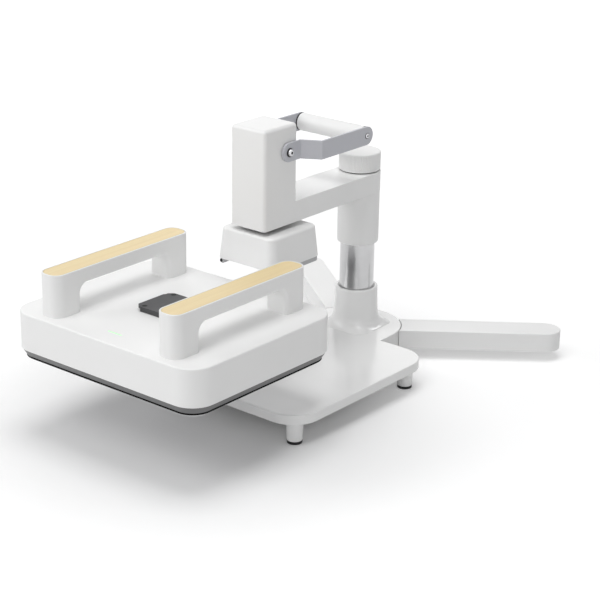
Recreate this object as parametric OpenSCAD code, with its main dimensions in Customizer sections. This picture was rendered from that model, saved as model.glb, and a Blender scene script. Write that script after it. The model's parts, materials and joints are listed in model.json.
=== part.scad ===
// Two-handled flat heat press, shown lifted off its swing-arm press stand.
// Origin: on the floor, on the column's axis. +Z is up, +Y runs from the user to the back,
// and +X is the user's right. All lengths are in millimetres.

/* [Base casting] */
// Width of the base plate, left to right
plate_w = 320; // [300:1:345]
// Depth of the base plate, front to back
plate_d = 295; // [280:1:320]
// Corner radius of the base plate
plate_corner = 41; // [30:0.5:46]
// Thickness of the base plate
plate_t = 14; // [12:0.25:18]
// Height of the plate's underside above the floor
plate_lift = 30; // [27:0.5:36]
// Distance from the column's axis forward to the plate's back edge
plate_back = 32.5; // [30:0.25:36]
// Metal left above the plate's underside pockets
plate_skin = 9; // [8:0.25:10]
// Solid border outside the underside pockets
pocket_border = 42; // [38:1:52]
// Thickness of the ribs between the pockets
rib_t = 6; // [4:0.5:9]
// Number of pockets across the plate
pocket_columns = 4; // [3:1:5]
// Number of pockets from front to back
pocket_rows = 3; // [3:1:5]

/* [Feet] */
// Radius of a foot where it meets the plate
foot_r = 11.5; // [10:0.25:14]
// Radius of a foot at its lower end
foot_tip_r = 10.5; // [9:0.25:11]
// Distance from the plate's edge in to the axis of a front foot
foot_inset = 22; // [19:0.5:26]
// Distance from the plate's back edge in to the axis of a back foot
back_foot_inset = 30; // [26:0.5:36]
// Thickness of the rubber pad under each foot
pad_h = 4; // [3:0.25:6]
// Radius of the foot under the column
hub_foot_r = 20; // [17:0.5:24]

/* [Hub] */
// Radius of the round hub
hub_r = 71.3; // [68:0.1:74]
// Distance from the column's axis forward to the hub's centre
hub_offset = 6.5; // [4:0.25:9]
// Height of the hub's underside above the floor
hub_lift = 16; // [14:0.25:17]
// Thickness of the hub's side wall
hub_wall = 5; // [4:0.25:7]
// Distance from the hub's centre to its front wall, under the plate
hub_front = 52; // [46:1:60]
// Thickness of the cover under the hub
hub_cover_t = 3; // [2:0.25:4]
// Radius of the column boss at its top
boss_r = 31.1; // [30:0.1:33]
// Height of the column boss above the plate
boss_h = 60; // [50:0.5:68]
// Amount the boss widens down to its foot
boss_flare = 2.4; // [1:0.1:4]
// Rounded top edge of the boss
boss_edge = 3; // [2:0.25:4]
// Width of the rounded-square skirt round the boss
skirt_w = 78; // [74:0.5:84]
// Corner radius of the skirt
skirt_corner = 17; // [12:0.5:22]
// Height of the skirt
skirt_h = 17; // [12:0.5:22]

/* [Legs] */
// Angle of each leg back from the left-right line
leg_angle = 37.3; // [35:0.1:40]
// Width of a leg
leg_w = 47; // [44:0.25:50]
// Distance from the hub's centre to the leg's tip
leg_reach = 305.5; // [270:0.5:340]
// Gap between the hub and the leg's hollow end
leg_gap = 0.9; // [0.6:0.1:1.5]
// Thickness of the leg's walls
leg_wall = 3; // [2.5:0.25:4]
// Angle that each leg can fold back
leg_fold = 31; // [10:1:31]
// Width of the steel link that hinges a leg
link_w = 30; // [24:0.5:34]
// Thickness of the link
link_t = 5; // [4:0.25:5.5]
// Length of the link inside the leg
link_reach = 60; // [45:1:80]
// Radius of the hinge pin that both legs share
leg_pin_r = 8; // [6:0.25:10]
// Outer radius of the link's eye
link_eye_r = 20; // [17:0.5:24]

/* [Column] */
// Outer radius of the chrome column
tube_r = 25.2; // [23.5:0.1:25.4]
// Wall of the chrome column
tube_wall = 3; // [2.5:0.25:4]
// Length of the chrome column
tube_h = 160; // [156:0.5:162]
// Wall of the sliding guide bush
bush_wall = 2.6; // [2:0.1:2.8]
// Radius of the lifting screw
screw_r = 8; // [7:0.25:9]
// Length of the lifting screw below the arm
screw_drop = 167; // [160:0.5:170]
// Height of the nut inside the column
nut_h = 20; // [16:0.5:26]
// Depth of the nut below the top of the column
nut_drop = 34; // [30:0.5:38]
// Radius of the screw's thrust collar
collar_r = 13; // [11:0.25:15]
// Thickness of the screw's thrust collar
collar_t = 4; // [3:0.25:5]
// Height of the thrust bearing
bearing_h = 9; // [7:0.25:11]
// Outer radius of the thrust bearing
bearing_r = 20; // [18:0.25:21]
// Radius of the height knob
knob_r = 30; // [27:0.1:30.2]
// Height of the height knob
knob_h = 26.5; // [22:0.25:32]
// Depth of the grooves round the knob
groove_depth = 0.6; // [0.3:0.05:1]
// Number of grooves round the knob
groove_count = 72; // [48:1:96]
// Height of the dark washer under the knob
knob_gap = 1.5; // [1:0.1:2.5]

/* [Arm and head] */
// Width of the arm, the head and the sleeve
arm_w = 61; // [60:0.1:62]
// Thickness of the arm
arm_t = 29.5; // [27:0.25:33]
// Height of the arm's underside above the base plate
arm_lift = 206; // [203:0.5:210]
// Length of the sleeve below the arm
sleeve_drop = 78; // [70:0.5:82]
// Rounded lower edge of the sleeve
sleeve_edge = 4; // [2:0.25:5]
// Thickness of the arm's walls
arm_wall = 4; // [3:0.25:5]
// Depth of the head block, front to back
head_d = 66.5; // [64:0.25:72]
// Height of the head block above the arm's underside
head_h = 138.5; // [136:0.5:148]
// Distance from the column's axis forward to the middle of the head
head_reach = 210.25; // [200:0.25:225]
// Rounding of the head's upright and top edges
head_edge = 5; // [3:0.25:7]
// Thickness of the plate that closes the head from below
head_floor_t = 6; // [5:0.25:8]

/* [Lever] */
// Depth of the lever's pivot below the top of the head
pivot_drop = 36.5; // [36:0.25:40]
// Distance of the pivot behind the middle of the head
pivot_back = 11.85; // [10:0.05:12]
// Length of the lever from its pivot to the grip
lever_len = 135.2; // [110:0.1:160]
// Height of the lever's side plates
lever_h = 26; // [22:0.25:28]
// Thickness of the lever's side plates
lever_t = 3.5; // [2.5:0.1:4]
// Width of the lever outside its two plates
lever_w = 120.2; // [108:0.1:130]
// Distance from the pivot to the first bend
bend_near = 23.4; // [18:0.1:26]
// Distance from the pivot to the second bend
bend_far = 38.4; // [34:0.1:46]
// Radius of the grip
grip_r = 12.8; // [11:0.1:13]
// Thickness of the dark washers at the ends of the grip
grip_washer_t = 1.6; // [1:0.1:2.5]
// Radius of the rod through the grip
grip_rod_r = 5; // [4:0.25:7]
// Radius of the lever's axle
axle_r = 6; // [5:0.25:7]
// Radius of the cam where it starts to push
cam_base = 10; // [9:0.25:10.25]
// Travel of the plunger as the lever is pulled over
plunger_travel = 14; // [8:0.25:14]
// Angle that the lever turns through
lever_angle = 165; // [120:1:165]
// Thickness of the cam
cam_t = 13; // [9:0.5:14]

/* [Plunger and dock] */
// Radius of the plunger
plunger_r = 11; // [9:0.25:11.5]
// Radius of the plunger's spring collar
spring_collar_r = 16.6; // [15:0.1:16.8]
// Gap between the head and the dock
dock_gap = 6.5; // [5:0.1:9]
// Width of the dock at its foot
dock_w = 101.5; // [100:0.5:110]
// Depth of the dock at its foot
dock_d = 104; // [102:0.1:112]
// Height of the dock's cover
dock_h = 44; // [40:0.5:50]
// Corner radius of the dock
dock_corner = 13; // [10:0.25:16]
// Amount each side of the dock leans in towards its top
dock_taper = 3.8; // [2:0.1:6]
// Rounded top edge of the dock
dock_edge = 3; // [2:0.25:5]
// Thickness of the dock's wall at its top
dock_wall = 3; // [2.5:0.25:4]
// Thickness of the plate inside the dock
dock_plate_t = 8; // [6:0.25:12]
// Height of the rails under the dock
rail_h = 6.5; // [6:0.1:8]
// Thickness of the hooks at the back of the rails
hook_t = 1.6; // [1.4:0.1:2]
// Length of the hooks
hook_len = 16; // [10:0.25:16]

/* [Press] */
// Width of the press
press_w = 325; // [310:1:345]
// Depth of the press
press_d = 274; // [262:1:290]
// Corner radius of the press
press_corner = 32.7; // [28:0.1:40]
// Distance from the column's axis forward to the middle of the press
press_reach = 387.2; // [380:0.1:410]
// Height at which the press is shown above the base plate
press_hover = 63.7; // [50:0.1:64.5]
// Height of the press housing
shell_h = 50.2; // [48:0.1:53]
// Wall of the press housing
shell_wall = 3; // [2.5:0.25:4]
// Rounded top edge of the housing
shell_edge = 4.5; // [3:0.25:7]
// Height of the sloping rim under the housing
rim_h = 11.9; // [10:0.1:14]
// Distance that the rim slopes in
rim_inset = 10; // [8:0.1:12]
// Wall of the sloping rim
rim_wall = 2.5; // [2:0.1:3.5]
// Height of the platen below the rim
platen_show = 3.9; // [3:0.1:6]
// Thickness of the heated platen
platen_t = 14; // [12:0.25:16]
// Thickness of the seal between rim and platen
seal_t = 1.6; // [1.2:0.1:2.5]
// Thickness of the heating film on the platen
film_t = 1.5; // [1:0.1:2.5]
// Thickness of the insulation board
insulation_t = 12; // [9:0.25:14]
// Thickness of the control board
board_t = 1.6; // [1:0.1:2.4]
// Length of the status light
light_len = 24; // [16:0.5:30]
// Width of the status light
light_w = 3; // [2:0.1:4]
// Distance from the front edge of the press back to the status light
light_inset = 30; // [24:0.5:40]

/* [Handles] */
// Length of a handle
handle_len = 249.4; // [235:0.2:255]
// Width of a handle
handle_w = 36; // [32:0.25:38]
// Distance from the side of the press in to the middle of a handle
handle_inset = 58.9; // [54.5:0.1:62.5]
// Height of a handle
handle_h = 57.6; // [54:0.2:60]
// Thickness of the beam that the hand holds
beam_t = 21.3; // [18:0.1:24]
// Length of each upright of a handle
upright_len = 43.5; // [38:0.25:48]
// Corner radius of a handle seen from above
handle_corner = 15; // [11:0.25:15.5]
// Radius inside the handle's arch
arch_r = 13; // [8:0.25:16]
// White border left round the wood inlay
inlay_border = 2.2; // [1.5:0.1:3.5]
// Thickness of the wood inlay
inlay_t = 3; // [2:0.1:4]

/* [Dock bracket] */
// Width of the bracket on the press
bracket_w = 76; // [70:0.25:77]
// Depth of the bracket
bracket_d = 65.6; // [60:0.2:72]
// Thickness of the bracket's flange
flange_t = 2.9; // [2.4:0.1:3.2]
// Height of the bracket's neck
neck_t = 4.4; // [4:0.1:4.6]
// Width of the bracket's neck
neck_w = 60; // [54:0.5:61]
// Left-right distance between the bracket's screws
bracket_hole_x = 51.5; // [44:0.5:56]
// Front-back distance between the bracket's screws
bracket_hole_y = 54; // [46:0.5:54.5]
// Radius of the bracket's screw heads
bracket_screw_r = 3.4; // [2.8:0.1:4]
// Chamfer of the bracket's corners
bracket_chamfer = 6.5; // [5:0.25:8]

/* [Hidden] */

// Shared clearances and the overrun of every cut
running = 0.05;
seat = 0.1;
play = 0.3;
over = 1;
// Smoothness of exact curves, and of shapes that are hulled
$fn = 96;
hull_fn = 32;
edge_steps = 3;

// Heights of the stand
plate_top = plate_lift + plate_t;
tube_top = plate_top + tube_h;
arm_under = plate_top + arm_lift;
arm_top = arm_under + arm_t;
arm_ceiling = arm_top - arm_wall;
sleeve_low = arm_under - sleeve_drop;
head_top = arm_under + head_h;
head_ceiling = head_top - arm_wall;

// Places from front to back
plate_mid_y = -plate_back - plate_d / 2;
hub_y = -hub_offset;
head_y = -head_reach;
pivot_y = head_y + pivot_back;
pivot_z = head_top - pivot_drop;
grip_y = pivot_y + lever_len;
press_y = -press_reach;

// Feet
foot_x = plate_w / 2 - foot_inset;
front_foot_y = -plate_back - plate_d + foot_inset;
back_foot_y = -plate_back - back_foot_inset;
tiny_round = 1;

// Column fits
bush_r = tube_r + running + bush_wall;
sleeve_bore = bush_r + running;
collar_z = arm_ceiling - bearing_h - seat - collar_t;
screw_low = arm_top - screw_drop;
nut_low = tube_top - nut_drop - nut_h;
knob_low = arm_top + seat + knob_gap;
knob_socket_share = 0.72;
cap_step = 0.2;
knob_socket = knob_socket_share * knob_h;
washer_r = knob_r - 3 * groove_depth - tiny_round;

// Hub cavity and leg hinge
hub_cavity_h = plate_top - plate_skin - hub_lift;
hub_inside = hub_r - hub_wall;
link_gap = 1;
link_low = hub_lift + hub_cover_t + 2 * link_gap;
link_high = link_low + link_t + link_gap;
window_low = link_low - link_gap;
window_h = 2 * link_t + 3 * link_gap;
link_half_angle = asin(link_w / 2 / hub_inside) + 2;
leg_h = plate_top - hub_lift;
leg_inner = hub_r + leg_gap;
leg_tip_mid = leg_reach - leg_w / 2;
leg_floor_t = 2;
leg_cavity_start = leg_inner + 2 * leg_wall;
leg_screw_r = 2.5;
leg_screw_head_r = 4.5;
leg_screw_head_t = 2.5;
link_bolt_near = leg_cavity_start + link_w / 3;
link_bolt_far = leg_inner + link_reach - link_w / 3;
post_r = 6;

// Head inside
cavity_w = arm_w - 2 * arm_wall;
cavity_d = head_d - 2 * arm_wall;
head_floor_z = arm_under + seat;
head_floor_top = head_floor_z + head_floor_t;
bush_flange_w = 6;
bush_wall_t = 3;
bush_flange_r = plunger_r + bush_flange_w;
bush_body_r = plunger_r + bush_wall_t;
bush_flange_t = 2.5;
bush_len = 2 * head_floor_t;
bush_top = head_floor_top + bush_flange_t;
corner_post_r = 5;
corner_post_h = 30;
post_bite = 1;
corner_post_x = cavity_w / 2 - corner_post_r;
corner_post_y = cavity_d / 2 - corner_post_r;
head_screw_r = 2;
head_screw_head_r = 3.6;
head_screw_head_t = 2;

// Axle, cam and roller
axle_bush_wall = 2.5;
axle_bush_r = axle_r + axle_bush_wall;
lever_gap = 0.8;
plate_in_x = arm_w / 2 + lever_gap;
roller_r = 5;
roller_gap = 0.9;
roller_z = pivot_z - cam_base - roller_gap - roller_r;
roller_side = 0.5;
roller_t = cam_t - 2 * roller_side;
fork_t = 3.5;
fork_gap = 0.8;
fork_drop = 1;
roller_room = 2;
fork_top = roller_z + roller_r - fork_drop;
collar_top = roller_z - roller_r - roller_room;
spring_collar_t = 4;
full_turn = 360;
cam_step = 5;
cam_dwell = 8;
cam_fall = 28;
washer_t = 1.2;
lever_washer_r = 6.4;
pivot_screw_r = 4.6;
pivot_screw_t = 3;
grip_screw_r = 3.6;
grip_screw_t = 1.4;
grip_tube_wall = 2.5;
pivot_shank_r = axle_r / 2;
grip_shank_r = grip_rod_r / 2;
lever_out_x = lever_w / 2 - lever_t;
grip_half = lever_out_x - grip_washer_t;

// Dock
dock_top = arm_under - dock_gap;
dock_low = dock_top - dock_h;
dock_inner_w = dock_w - 2 * dock_taper - 2 * dock_wall;
dock_inner_d = dock_d - 2 * dock_taper - 2 * dock_wall;
dock_inner_corner = dock_corner - dock_wall;
dock_plate_top = dock_low + dock_plate_t;
rail_low = dock_low - rail_h;
rail_inset = 1;
slot_gap = 0.6;
slot_w = bracket_w + 2 * slot_gap;
hook_w = neck_w + 4 * slot_gap;
dock_stop_y = pivot_y + bracket_d / 2 + slot_gap;
stud_r = 2.4;
stud_len = 7;
stud_edge = 1;
stud_x = slot_w / 2 + stud_r + stud_edge;
stud_z = rail_low + rail_h / 2;
rail_screw_r = 1.6;
rail_screw_head_r = 2.8;
rail_screw_head_t = 2;
rail_screw_y = dock_d / 2 - 3 * dock_corner / 2;
rail_screw_x = slot_w / 2 + rail_screw_head_r + seat + 2 * play;
plunger_screw_r = plunger_r / 3;
plunger_screw_head_r = plunger_r / 2;
plunger_screw_head_t = 3;

// Press heights
platen_low = plate_top + press_hover;
rim_low = platen_low + platen_show;
shell_low = rim_low + rim_h;
shell_top = shell_low + shell_h;
shell_ceiling = shell_top - shell_wall;
platen_top = platen_low + platen_t;
film_top = platen_top + film_t;
insulation_top = film_top + insulation_t;
platen_w = press_w - 2 * rim_inset;
platen_d = press_d - 2 * rim_inset;
platen_corner = press_corner - rim_inset;
handle_span = press_w - 2 * handle_inset;
platen_post_r = 4;
post_clearance = 2;
post_y = platen_d / 3;
board_w = 130;
board_d = 80;
board_gap = 8;
board_low = insulation_top + board_gap;
board_post_r = 3;
board_post_inset = 6;
board_post_x = board_w / 2 - board_post_inset;
board_post_y = board_d / 2 - board_post_inset;

// Bracket and handles
neck_top = shell_top + neck_t;
bracket_top = neck_top + flange_t;
ear_w = 6;
ear_step = 2;
bracket_screw_head_t = 3;
bracket_screw_shank_r = 2;
handle_top = shell_top + handle_h;
arch_w = handle_len - 2 * upright_len;
arch_h = handle_h - beam_t;
inlay_w = handle_w - 2 * inlay_border;
inlay_len = handle_len - 2 * inlay_border;
inlay_corner = handle_corner - inlay_border;
handle_screw_y = handle_len / 2 - upright_len / 2;
handle_screw_r = 3;
handle_screw_head_r = 5.5;
handle_screw_head_t = 3;
handle_screw_depth = 20;
post_x = handle_span / 2 - handle_screw_head_r - platen_post_r - post_clearance;

// Power inlet in the back of the press
inlet_w = 27;
inlet_h = 20;
inlet_depth = 18;
inlet_face_t = 2;
inlet_x = press_w / 4;
inlet_z = shell_low + shell_h / 2;
inlet_blade_w = 2;
inlet_blade_h = 4;
inlet_blade_len = 11;
inlet_blade_gap = 7;

// Sockets in the screws, as shares of their heads
socket_width_share = 0.5;
socket_depth_share = 0.6;

// Colours
white_paint = [0.93, 0.93, 0.92];
lever_grey = [0.64, 0.65, 0.68];
steel = [0.72, 0.72, 0.74];
chrome = [0.82, 0.83, 0.85];
rubber = [0.08, 0.08, 0.08];
bracket_black = [0.2, 0.2, 0.21];
wood = [0.9, 0.79, 0.58];
rim_grey = [0.62, 0.62, 0.64];
light_green = [0.72, 0.93, 0.72];
board_green = [0.1, 0.4, 0.22];
board_white = [0.85, 0.84, 0.8];

// Outline of a rectangle with round corners, drawn with true arcs
module rounded_plan(w, d, r) {
    square([w - 2 * r, d], center = true);
    square([w, d - 2 * r], center = true);
    for (sx = [-1, 1], sy = [-1, 1])
        translate([sx * (w / 2 - r), sy * (d / 2 - r)]) circle(r);
}

module rounded_slab(w, d, h, r) {
    linear_extrude(h) rounded_plan(w, d, r);
}

// Slab with round corners whose top edge is rounded by e
module soft_block(w, d, h, r, e) {
    hull() {
        rounded_slab(w, d, h - e, r, $fn = hull_fn);
        for (i = [1:edge_steps]) {
            a = 90 * i / edge_steps;
            back = e * (1 - cos(a));
            rounded_slab(w - 2 * back, d - 2 * back, h - e + e * sin(a), r - back, $fn = hull_fn);
        }
    }
}

// Tapered slab: the foot outline shrinks by lean on every side, and the top edge is rounded
module leaning_block(w, d, h, r, lean, e) {
    hull() {
        rounded_slab(w, d, tiny_round, r, $fn = hull_fn);
        for (i = [0:edge_steps]) {
            a = 90 * i / edge_steps;
            back = lean + e * (1 - cos(a));
            translate([0, 0, h - e + e * sin(a) - tiny_round])
                rounded_slab(w - 2 * back, d - 2 * back, tiny_round, r - back / 2, $fn = hull_fn);
        }
    }
}

module ring(outer, inner, h) {
    difference() {
        cylinder(h, r = outer);
        translate([0, 0, -over]) cylinder(h + 2 * over, r = inner);
    }
}

// Pan-headed screw standing on its head, with a hexagonal socket
module socket_screw(head_r, head_t, shank_r, shank_len) {
    socket_r = head_r * socket_width_share;
    difference() {
        union() {
            cylinder(head_t, r = head_r);
            cylinder(head_t + shank_len, r = shank_r);
        }
        translate([0, 0, -over]) cylinder(over + head_t * socket_depth_share, r = socket_r, $fn = 6);
    }
}

// Base casting

module pockets() {
    field_w = plate_w - 2 * pocket_border;
    field_d = plate_d - pocket_border - hub_front - plate_back;
    cell_w = (field_w - (pocket_columns - 1) * rib_t) / pocket_columns;
    cell_d = (field_d - (pocket_rows - 1) * rib_t) / pocket_rows;
    front_y = -plate_back - plate_d + pocket_border;
    for (i = [0:pocket_columns - 1], j = [0:pocket_rows - 1])
        translate([-field_w / 2 + i * (cell_w + rib_t), front_y + j * (cell_d + rib_t),
                   plate_lift - over])
            cube([cell_w, cell_d, plate_t - plate_skin + over]);
}

module hub_plan(r, front) {
    circle(r);
    translate([-r, -front]) square([2 * r, front]);
}

// Window in the hub's wall that a leg's link swings through
module link_window() {
    low = leg_angle - link_half_angle;
    high = leg_angle + leg_fold + link_half_angle;
    reach = 2 * hub_r;
    points = concat([[0, 0]],
                    [for (i = [0:2]) let (a = low + (high - low) * i / 2)
                        [reach * cos(a), reach * sin(a)]]);
    translate([0, 0, window_low]) linear_extrude(window_h)
        intersection() {
            polygon(points);
            circle(hub_r + over);
        }
}

module boss() {
    low_r = boss_r + boss_flare;
    translate([0, 0, plate_top])
        rotate_extrude()
            polygon(concat([[0, -plate_skin], [low_r, -plate_skin], [low_r, 0]],
                           [for (i = [0:4]) let (a = 90 * i / 4)
                               [boss_r - boss_edge * (1 - cos(a)),
                                boss_h - boss_edge * (1 - sin(a))]],
                           [[0, boss_h]]));
}

// Skirt that runs from a rounded square on the plate up into the round boss
module skirt() {
    steps = 4;
    low_r = boss_r + boss_flare;
    for (i = [0:steps - 1])
        hull() {
            for (k = [0, 1]) {
                t = (i + k) / steps;
                share = (1 - t) * (1 - t) * (1 - t);
                w = 2 * low_r + (skirt_w - 2 * low_r) * share;
                r = low_r + (skirt_corner - low_r) * share;
                translate([0, 0, plate_top - tiny_round + (skirt_h + tiny_round) * t])
                    rounded_slab(w, w, tiny_round * (1 - k) + tiny_round / 2 * k, r - tiny_round / 4,
                                 $fn = hull_fn);
            }
        }
}

module base_casting() {
    color(white_paint)
    difference() {
        union() {
            translate([0, plate_mid_y, plate_lift]) rounded_slab(plate_w, plate_d, plate_t, plate_corner);
            translate([0, hub_y, hub_lift]) linear_extrude(leg_h) hub_plan(hub_r, hub_front);
            boss();
            skirt();
        }
        pockets();
        translate([0, hub_y, hub_lift - over])
            linear_extrude(hub_cavity_h + over)
                hub_plan(hub_inside, hub_front - hub_wall);
        translate([0, hub_y, 0]) {
            link_window();
            mirror([1, 0, 0]) link_window();
        }
        translate([0, 0, plate_top]) cylinder(boss_h + over, r = tube_r + seat);
        translate([0, hub_y, hub_lift]) cylinder(hub_cavity_h + plate_skin / 2, r = leg_pin_r + seat);
    }
}

module foot_at(x, y, top, r, tip_r) {
    translate([x, y, pad_h]) cylinder(top - pad_h, r1 = tip_r, r2 = r);
}

module base_feet() {
    color(white_paint) {
        for (sx = [-1, 1]) {
            foot_at(sx * foot_x, front_foot_y, plate_lift, foot_r, foot_tip_r);
            foot_at(sx * foot_x, back_foot_y, plate_lift, foot_r, foot_tip_r);
        }
        foot_at(0, 0, hub_lift, hub_foot_r, hub_foot_r - (foot_r - foot_tip_r));
    }
}

module foot_pads() {
    color(rubber) {
        for (sx = [-1, 1], y = [front_foot_y, back_foot_y])
            translate([sx * foot_x, y, 0]) cylinder(pad_h, r = foot_tip_r);
        cylinder(pad_h, r = hub_foot_r - (foot_r - foot_tip_r));
    }
}

module hub_cover() {
    color(white_paint)
    difference() {
        translate([0, hub_y, hub_lift])
            linear_extrude(hub_cover_t)
                hub_plan(hub_inside - seat, hub_front - hub_wall - seat);
        hub_screw_places() translate([0, 0, -over])
            cylinder(hub_cover_t + 2 * over, r = leg_screw_r + seat);
        translate([0, hub_y, hub_lift - over])
            cylinder(hub_cover_t + 2 * over, r = leg_pin_r + seat);
    }
}

module leg_hinge_pin() {
    color(steel)
    translate([0, hub_y, hub_lift + seat])
        cylinder(hub_cavity_h + plate_skin / 2 - 2 * seat, r = leg_pin_r);
}

// Screws that hold the hub's cover, at the front where no link swings
module hub_screw_places() {
    inset = 2 * leg_screw_head_r;
    for (sx = [-1, 1], y = [hub_y - hub_front + hub_wall + inset, hub_y - inset])
        translate([sx * (hub_inside - inset), y, hub_lift]) children();
}

module hub_screws() {
    color(steel)
    hub_screw_places() translate([0, 0, -leg_screw_head_t])
        socket_screw(leg_screw_head_r, leg_screw_head_t, leg_screw_r, hub_cavity_h - seat);
}

// Legs: side is 1 for the right leg and -1 for the left

module leg_frame(side) {
    translate([0, hub_y, 0])
        mirror([side > 0 ? 0 : 1, 0, 0]) rotate([0, 0, leg_angle]) children();
}

module leg_outline(shrink, start) {
    translate([start, -leg_w / 2 + shrink]) square([leg_tip_mid - start, leg_w - 2 * shrink]);
    translate([leg_tip_mid, 0]) circle(leg_w / 2 - shrink);
}

module leg_posts(top_of_link) {
    for (x = [link_bolt_near, link_bolt_far])
        translate([x, 0, top_of_link])
            cylinder(plate_top - leg_wall - top_of_link + tiny_round / 2, r = post_r);
}

module leg_beam(side, link_z) {
    color(white_paint)
    leg_frame(side) {
        difference() {
            translate([0, 0, hub_lift]) linear_extrude(leg_h) leg_outline(0, hub_inside);
            translate([0, 0, hub_lift - over]) cylinder(leg_h + 2 * over, r = leg_inner);
            translate([0, 0, hub_lift - over])
                linear_extrude(leg_h - leg_wall + over) leg_outline(leg_wall, leg_cavity_start);
            translate([leg_inner - leg_w / 2, -link_w / 2 - seat, link_z - seat])
                cube([leg_w / 2 + leg_cavity_start - leg_inner + over, link_w + 2 * seat,
                      link_t + 2 * seat]);
        }
        difference() {
            leg_posts(link_z + link_t + seat);
            for (x = [link_bolt_near, link_bolt_far])
                translate([x, 0, link_z]) cylinder(leg_h, r = leg_screw_r + seat);
        }
    }
}

module leg_link(side, link_z) {
    color(steel)
    leg_frame(side)
        translate([0, 0, link_z])
            difference() {
                union() {
                    cylinder(link_t, r = link_eye_r);
                    translate([0, -link_w / 2, 0]) cube([leg_inner + link_reach, link_w, link_t]);
                }
                translate([0, 0, -over]) cylinder(link_t + 2 * over, r = leg_pin_r + running);
                for (x = [link_bolt_near, link_bolt_far])
                    translate([x, 0, -over]) cylinder(link_t + 2 * over, r = leg_screw_r + seat);
            }
}

module leg_floor(side) {
    color(white_paint)
    leg_frame(side)
        translate([0, 0, hub_lift])
            linear_extrude(leg_floor_t) leg_outline(leg_wall + seat, leg_cavity_start + seat);
}

module leg_screws(side, link_z) {
    color(steel)
    leg_frame(side)
        for (x = [link_bolt_near, link_bolt_far])
            translate([x, 0, link_z - leg_screw_head_t - seat])
                socket_screw(min(leg_screw_head_r, link_w / 4), leg_screw_head_t, leg_screw_r,
                             plate_top - leg_wall - link_z - leg_screw_r);
}

module leg_right() leg_beam(1, link_high);
module leg_left() leg_beam(-1, link_low);
module leg_link_right() leg_link(1, link_high);
module leg_link_left() leg_link(-1, link_low);
module leg_floor_right() leg_floor(1);
module leg_floor_left() leg_floor(-1);
module leg_screws_right() leg_screws(1, link_high);
module leg_screws_left() leg_screws(-1, link_low);

// Column and its lifting screw

module column_tube() {
    color(chrome) translate([0, 0, plate_top]) ring(tube_r, tube_r - tube_wall, tube_h);
}

module lift_nut() {
    color(steel) translate([0, 0, nut_low]) ring(tube_r - tube_wall - seat, screw_r + running, nut_h);
}

module guide_bush() {
    color(rubber)
    translate([0, 0, sleeve_low + sleeve_edge / 2])
        ring(bush_r, tube_r + running, tube_top - sleeve_low - sleeve_edge);
}

module thrust_bearing() {
    color(steel)
    translate([0, 0, collar_z + collar_t + seat / 2])
        ring(bearing_r, screw_r + play, bearing_h);
}

module lift_screw() {
    color(steel) {
        translate([0, 0, screw_low])
            cylinder(knob_low + knob_socket - seat - screw_low, r = screw_r);
        translate([0, 0, collar_z]) cylinder(collar_t, r = collar_r);
    }
}

module knob_washer() {
    color(rubber)
    translate([0, 0, arm_top + seat]) ring(washer_r, screw_r + seat, knob_gap);
}

module height_knob() {
    edge = 2 * groove_depth + tiny_round / 2;
    cap_r = knob_r - groove_depth - cap_step;
    color(white_paint)
    translate([0, 0, knob_low])
        difference() {
            union() {
                linear_extrude(knob_h - edge)
                    polygon([for (i = [0:2 * groove_count - 1])
                        let (a = 180 * i / groove_count, r = knob_r - (i % 2) * groove_depth)
                        [r * cos(a), r * sin(a)]]);
                translate([0, 0, knob_h - edge])
                    cylinder(edge, r1 = cap_r, r2 = cap_r - edge);
            }
            translate([0, 0, -over]) cylinder(knob_socket + over, r = screw_r + seat);
        }
}

// Arm and head

module sleeve() {
    translate([0, 0, sleeve_low])
        rotate_extrude()
            polygon(concat([[0, 0]],
                           [for (i = [0:4]) let (a = 90 * i / 4)
                               [arm_w / 2 - sleeve_edge * (1 - sin(a)),
                                sleeve_edge * (1 - cos(a))]],
                           [[arm_w / 2, arm_top - sleeve_low], [0, arm_top - sleeve_low]]));
}

module corner_posts() {
    translate([0, head_y, head_floor_top + seat])
        for (sx = [-1, 1], sy = [-1, 1])
            translate([sx * corner_post_x, sy * corner_post_y, 0])
                cylinder(corner_post_h, r = corner_post_r + post_bite);
}

module arm_casting() {
    beam_front = head_y + head_d / 2 - head_edge - over;
    color(white_paint)
    difference() {
        union() {
            translate([0, head_y, arm_under]) soft_block(arm_w, head_d, head_h, head_edge, head_edge);
            translate([-arm_w / 2, beam_front, arm_under]) cube([arm_w, -beam_front, arm_t]);
            sleeve();
        }
        difference() {
            translate([-cavity_w / 2, head_y - cavity_d / 2, arm_under - over])
                cube([cavity_w, cavity_d, head_ceiling - arm_under + over]);
            difference() {
                corner_posts();
                head_screw_places() cylinder(corner_post_h, r = head_screw_r + seat);
            }
        }
        translate([-cavity_w / 2, head_y + head_d / 2 + arm_wall, arm_under - over])
            cube([cavity_w, -head_y - head_d / 2 - 2 * arm_wall - arm_w / 2, arm_t - arm_wall + over]);
        translate([0, 0, sleeve_low - over])
            cylinder(arm_ceiling - sleeve_low + over, r = sleeve_bore);
        cylinder(arm_top + over, r = screw_r + play);
        translate([-arm_w, pivot_y, pivot_z]) rotate([0, 90, 0])
            cylinder(2 * arm_w, r = axle_bush_r + seat);
    }
}

module arm_cover() {
    color(white_paint)
    translate([-cavity_w / 2 + seat, head_y + head_d / 2 + arm_wall + seat, arm_under])
        cube([cavity_w - 2 * seat, -head_y - head_d / 2 - 2 * arm_wall - arm_w / 2 - 2 * seat, arm_wall]);
}

module head_screw_places() {
    translate([0, head_y, head_floor_z])
        for (sx = [-1, 1], sy = [-1, 1])
            translate([sx * corner_post_x, sy * corner_post_y, 0]) children();
}

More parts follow.
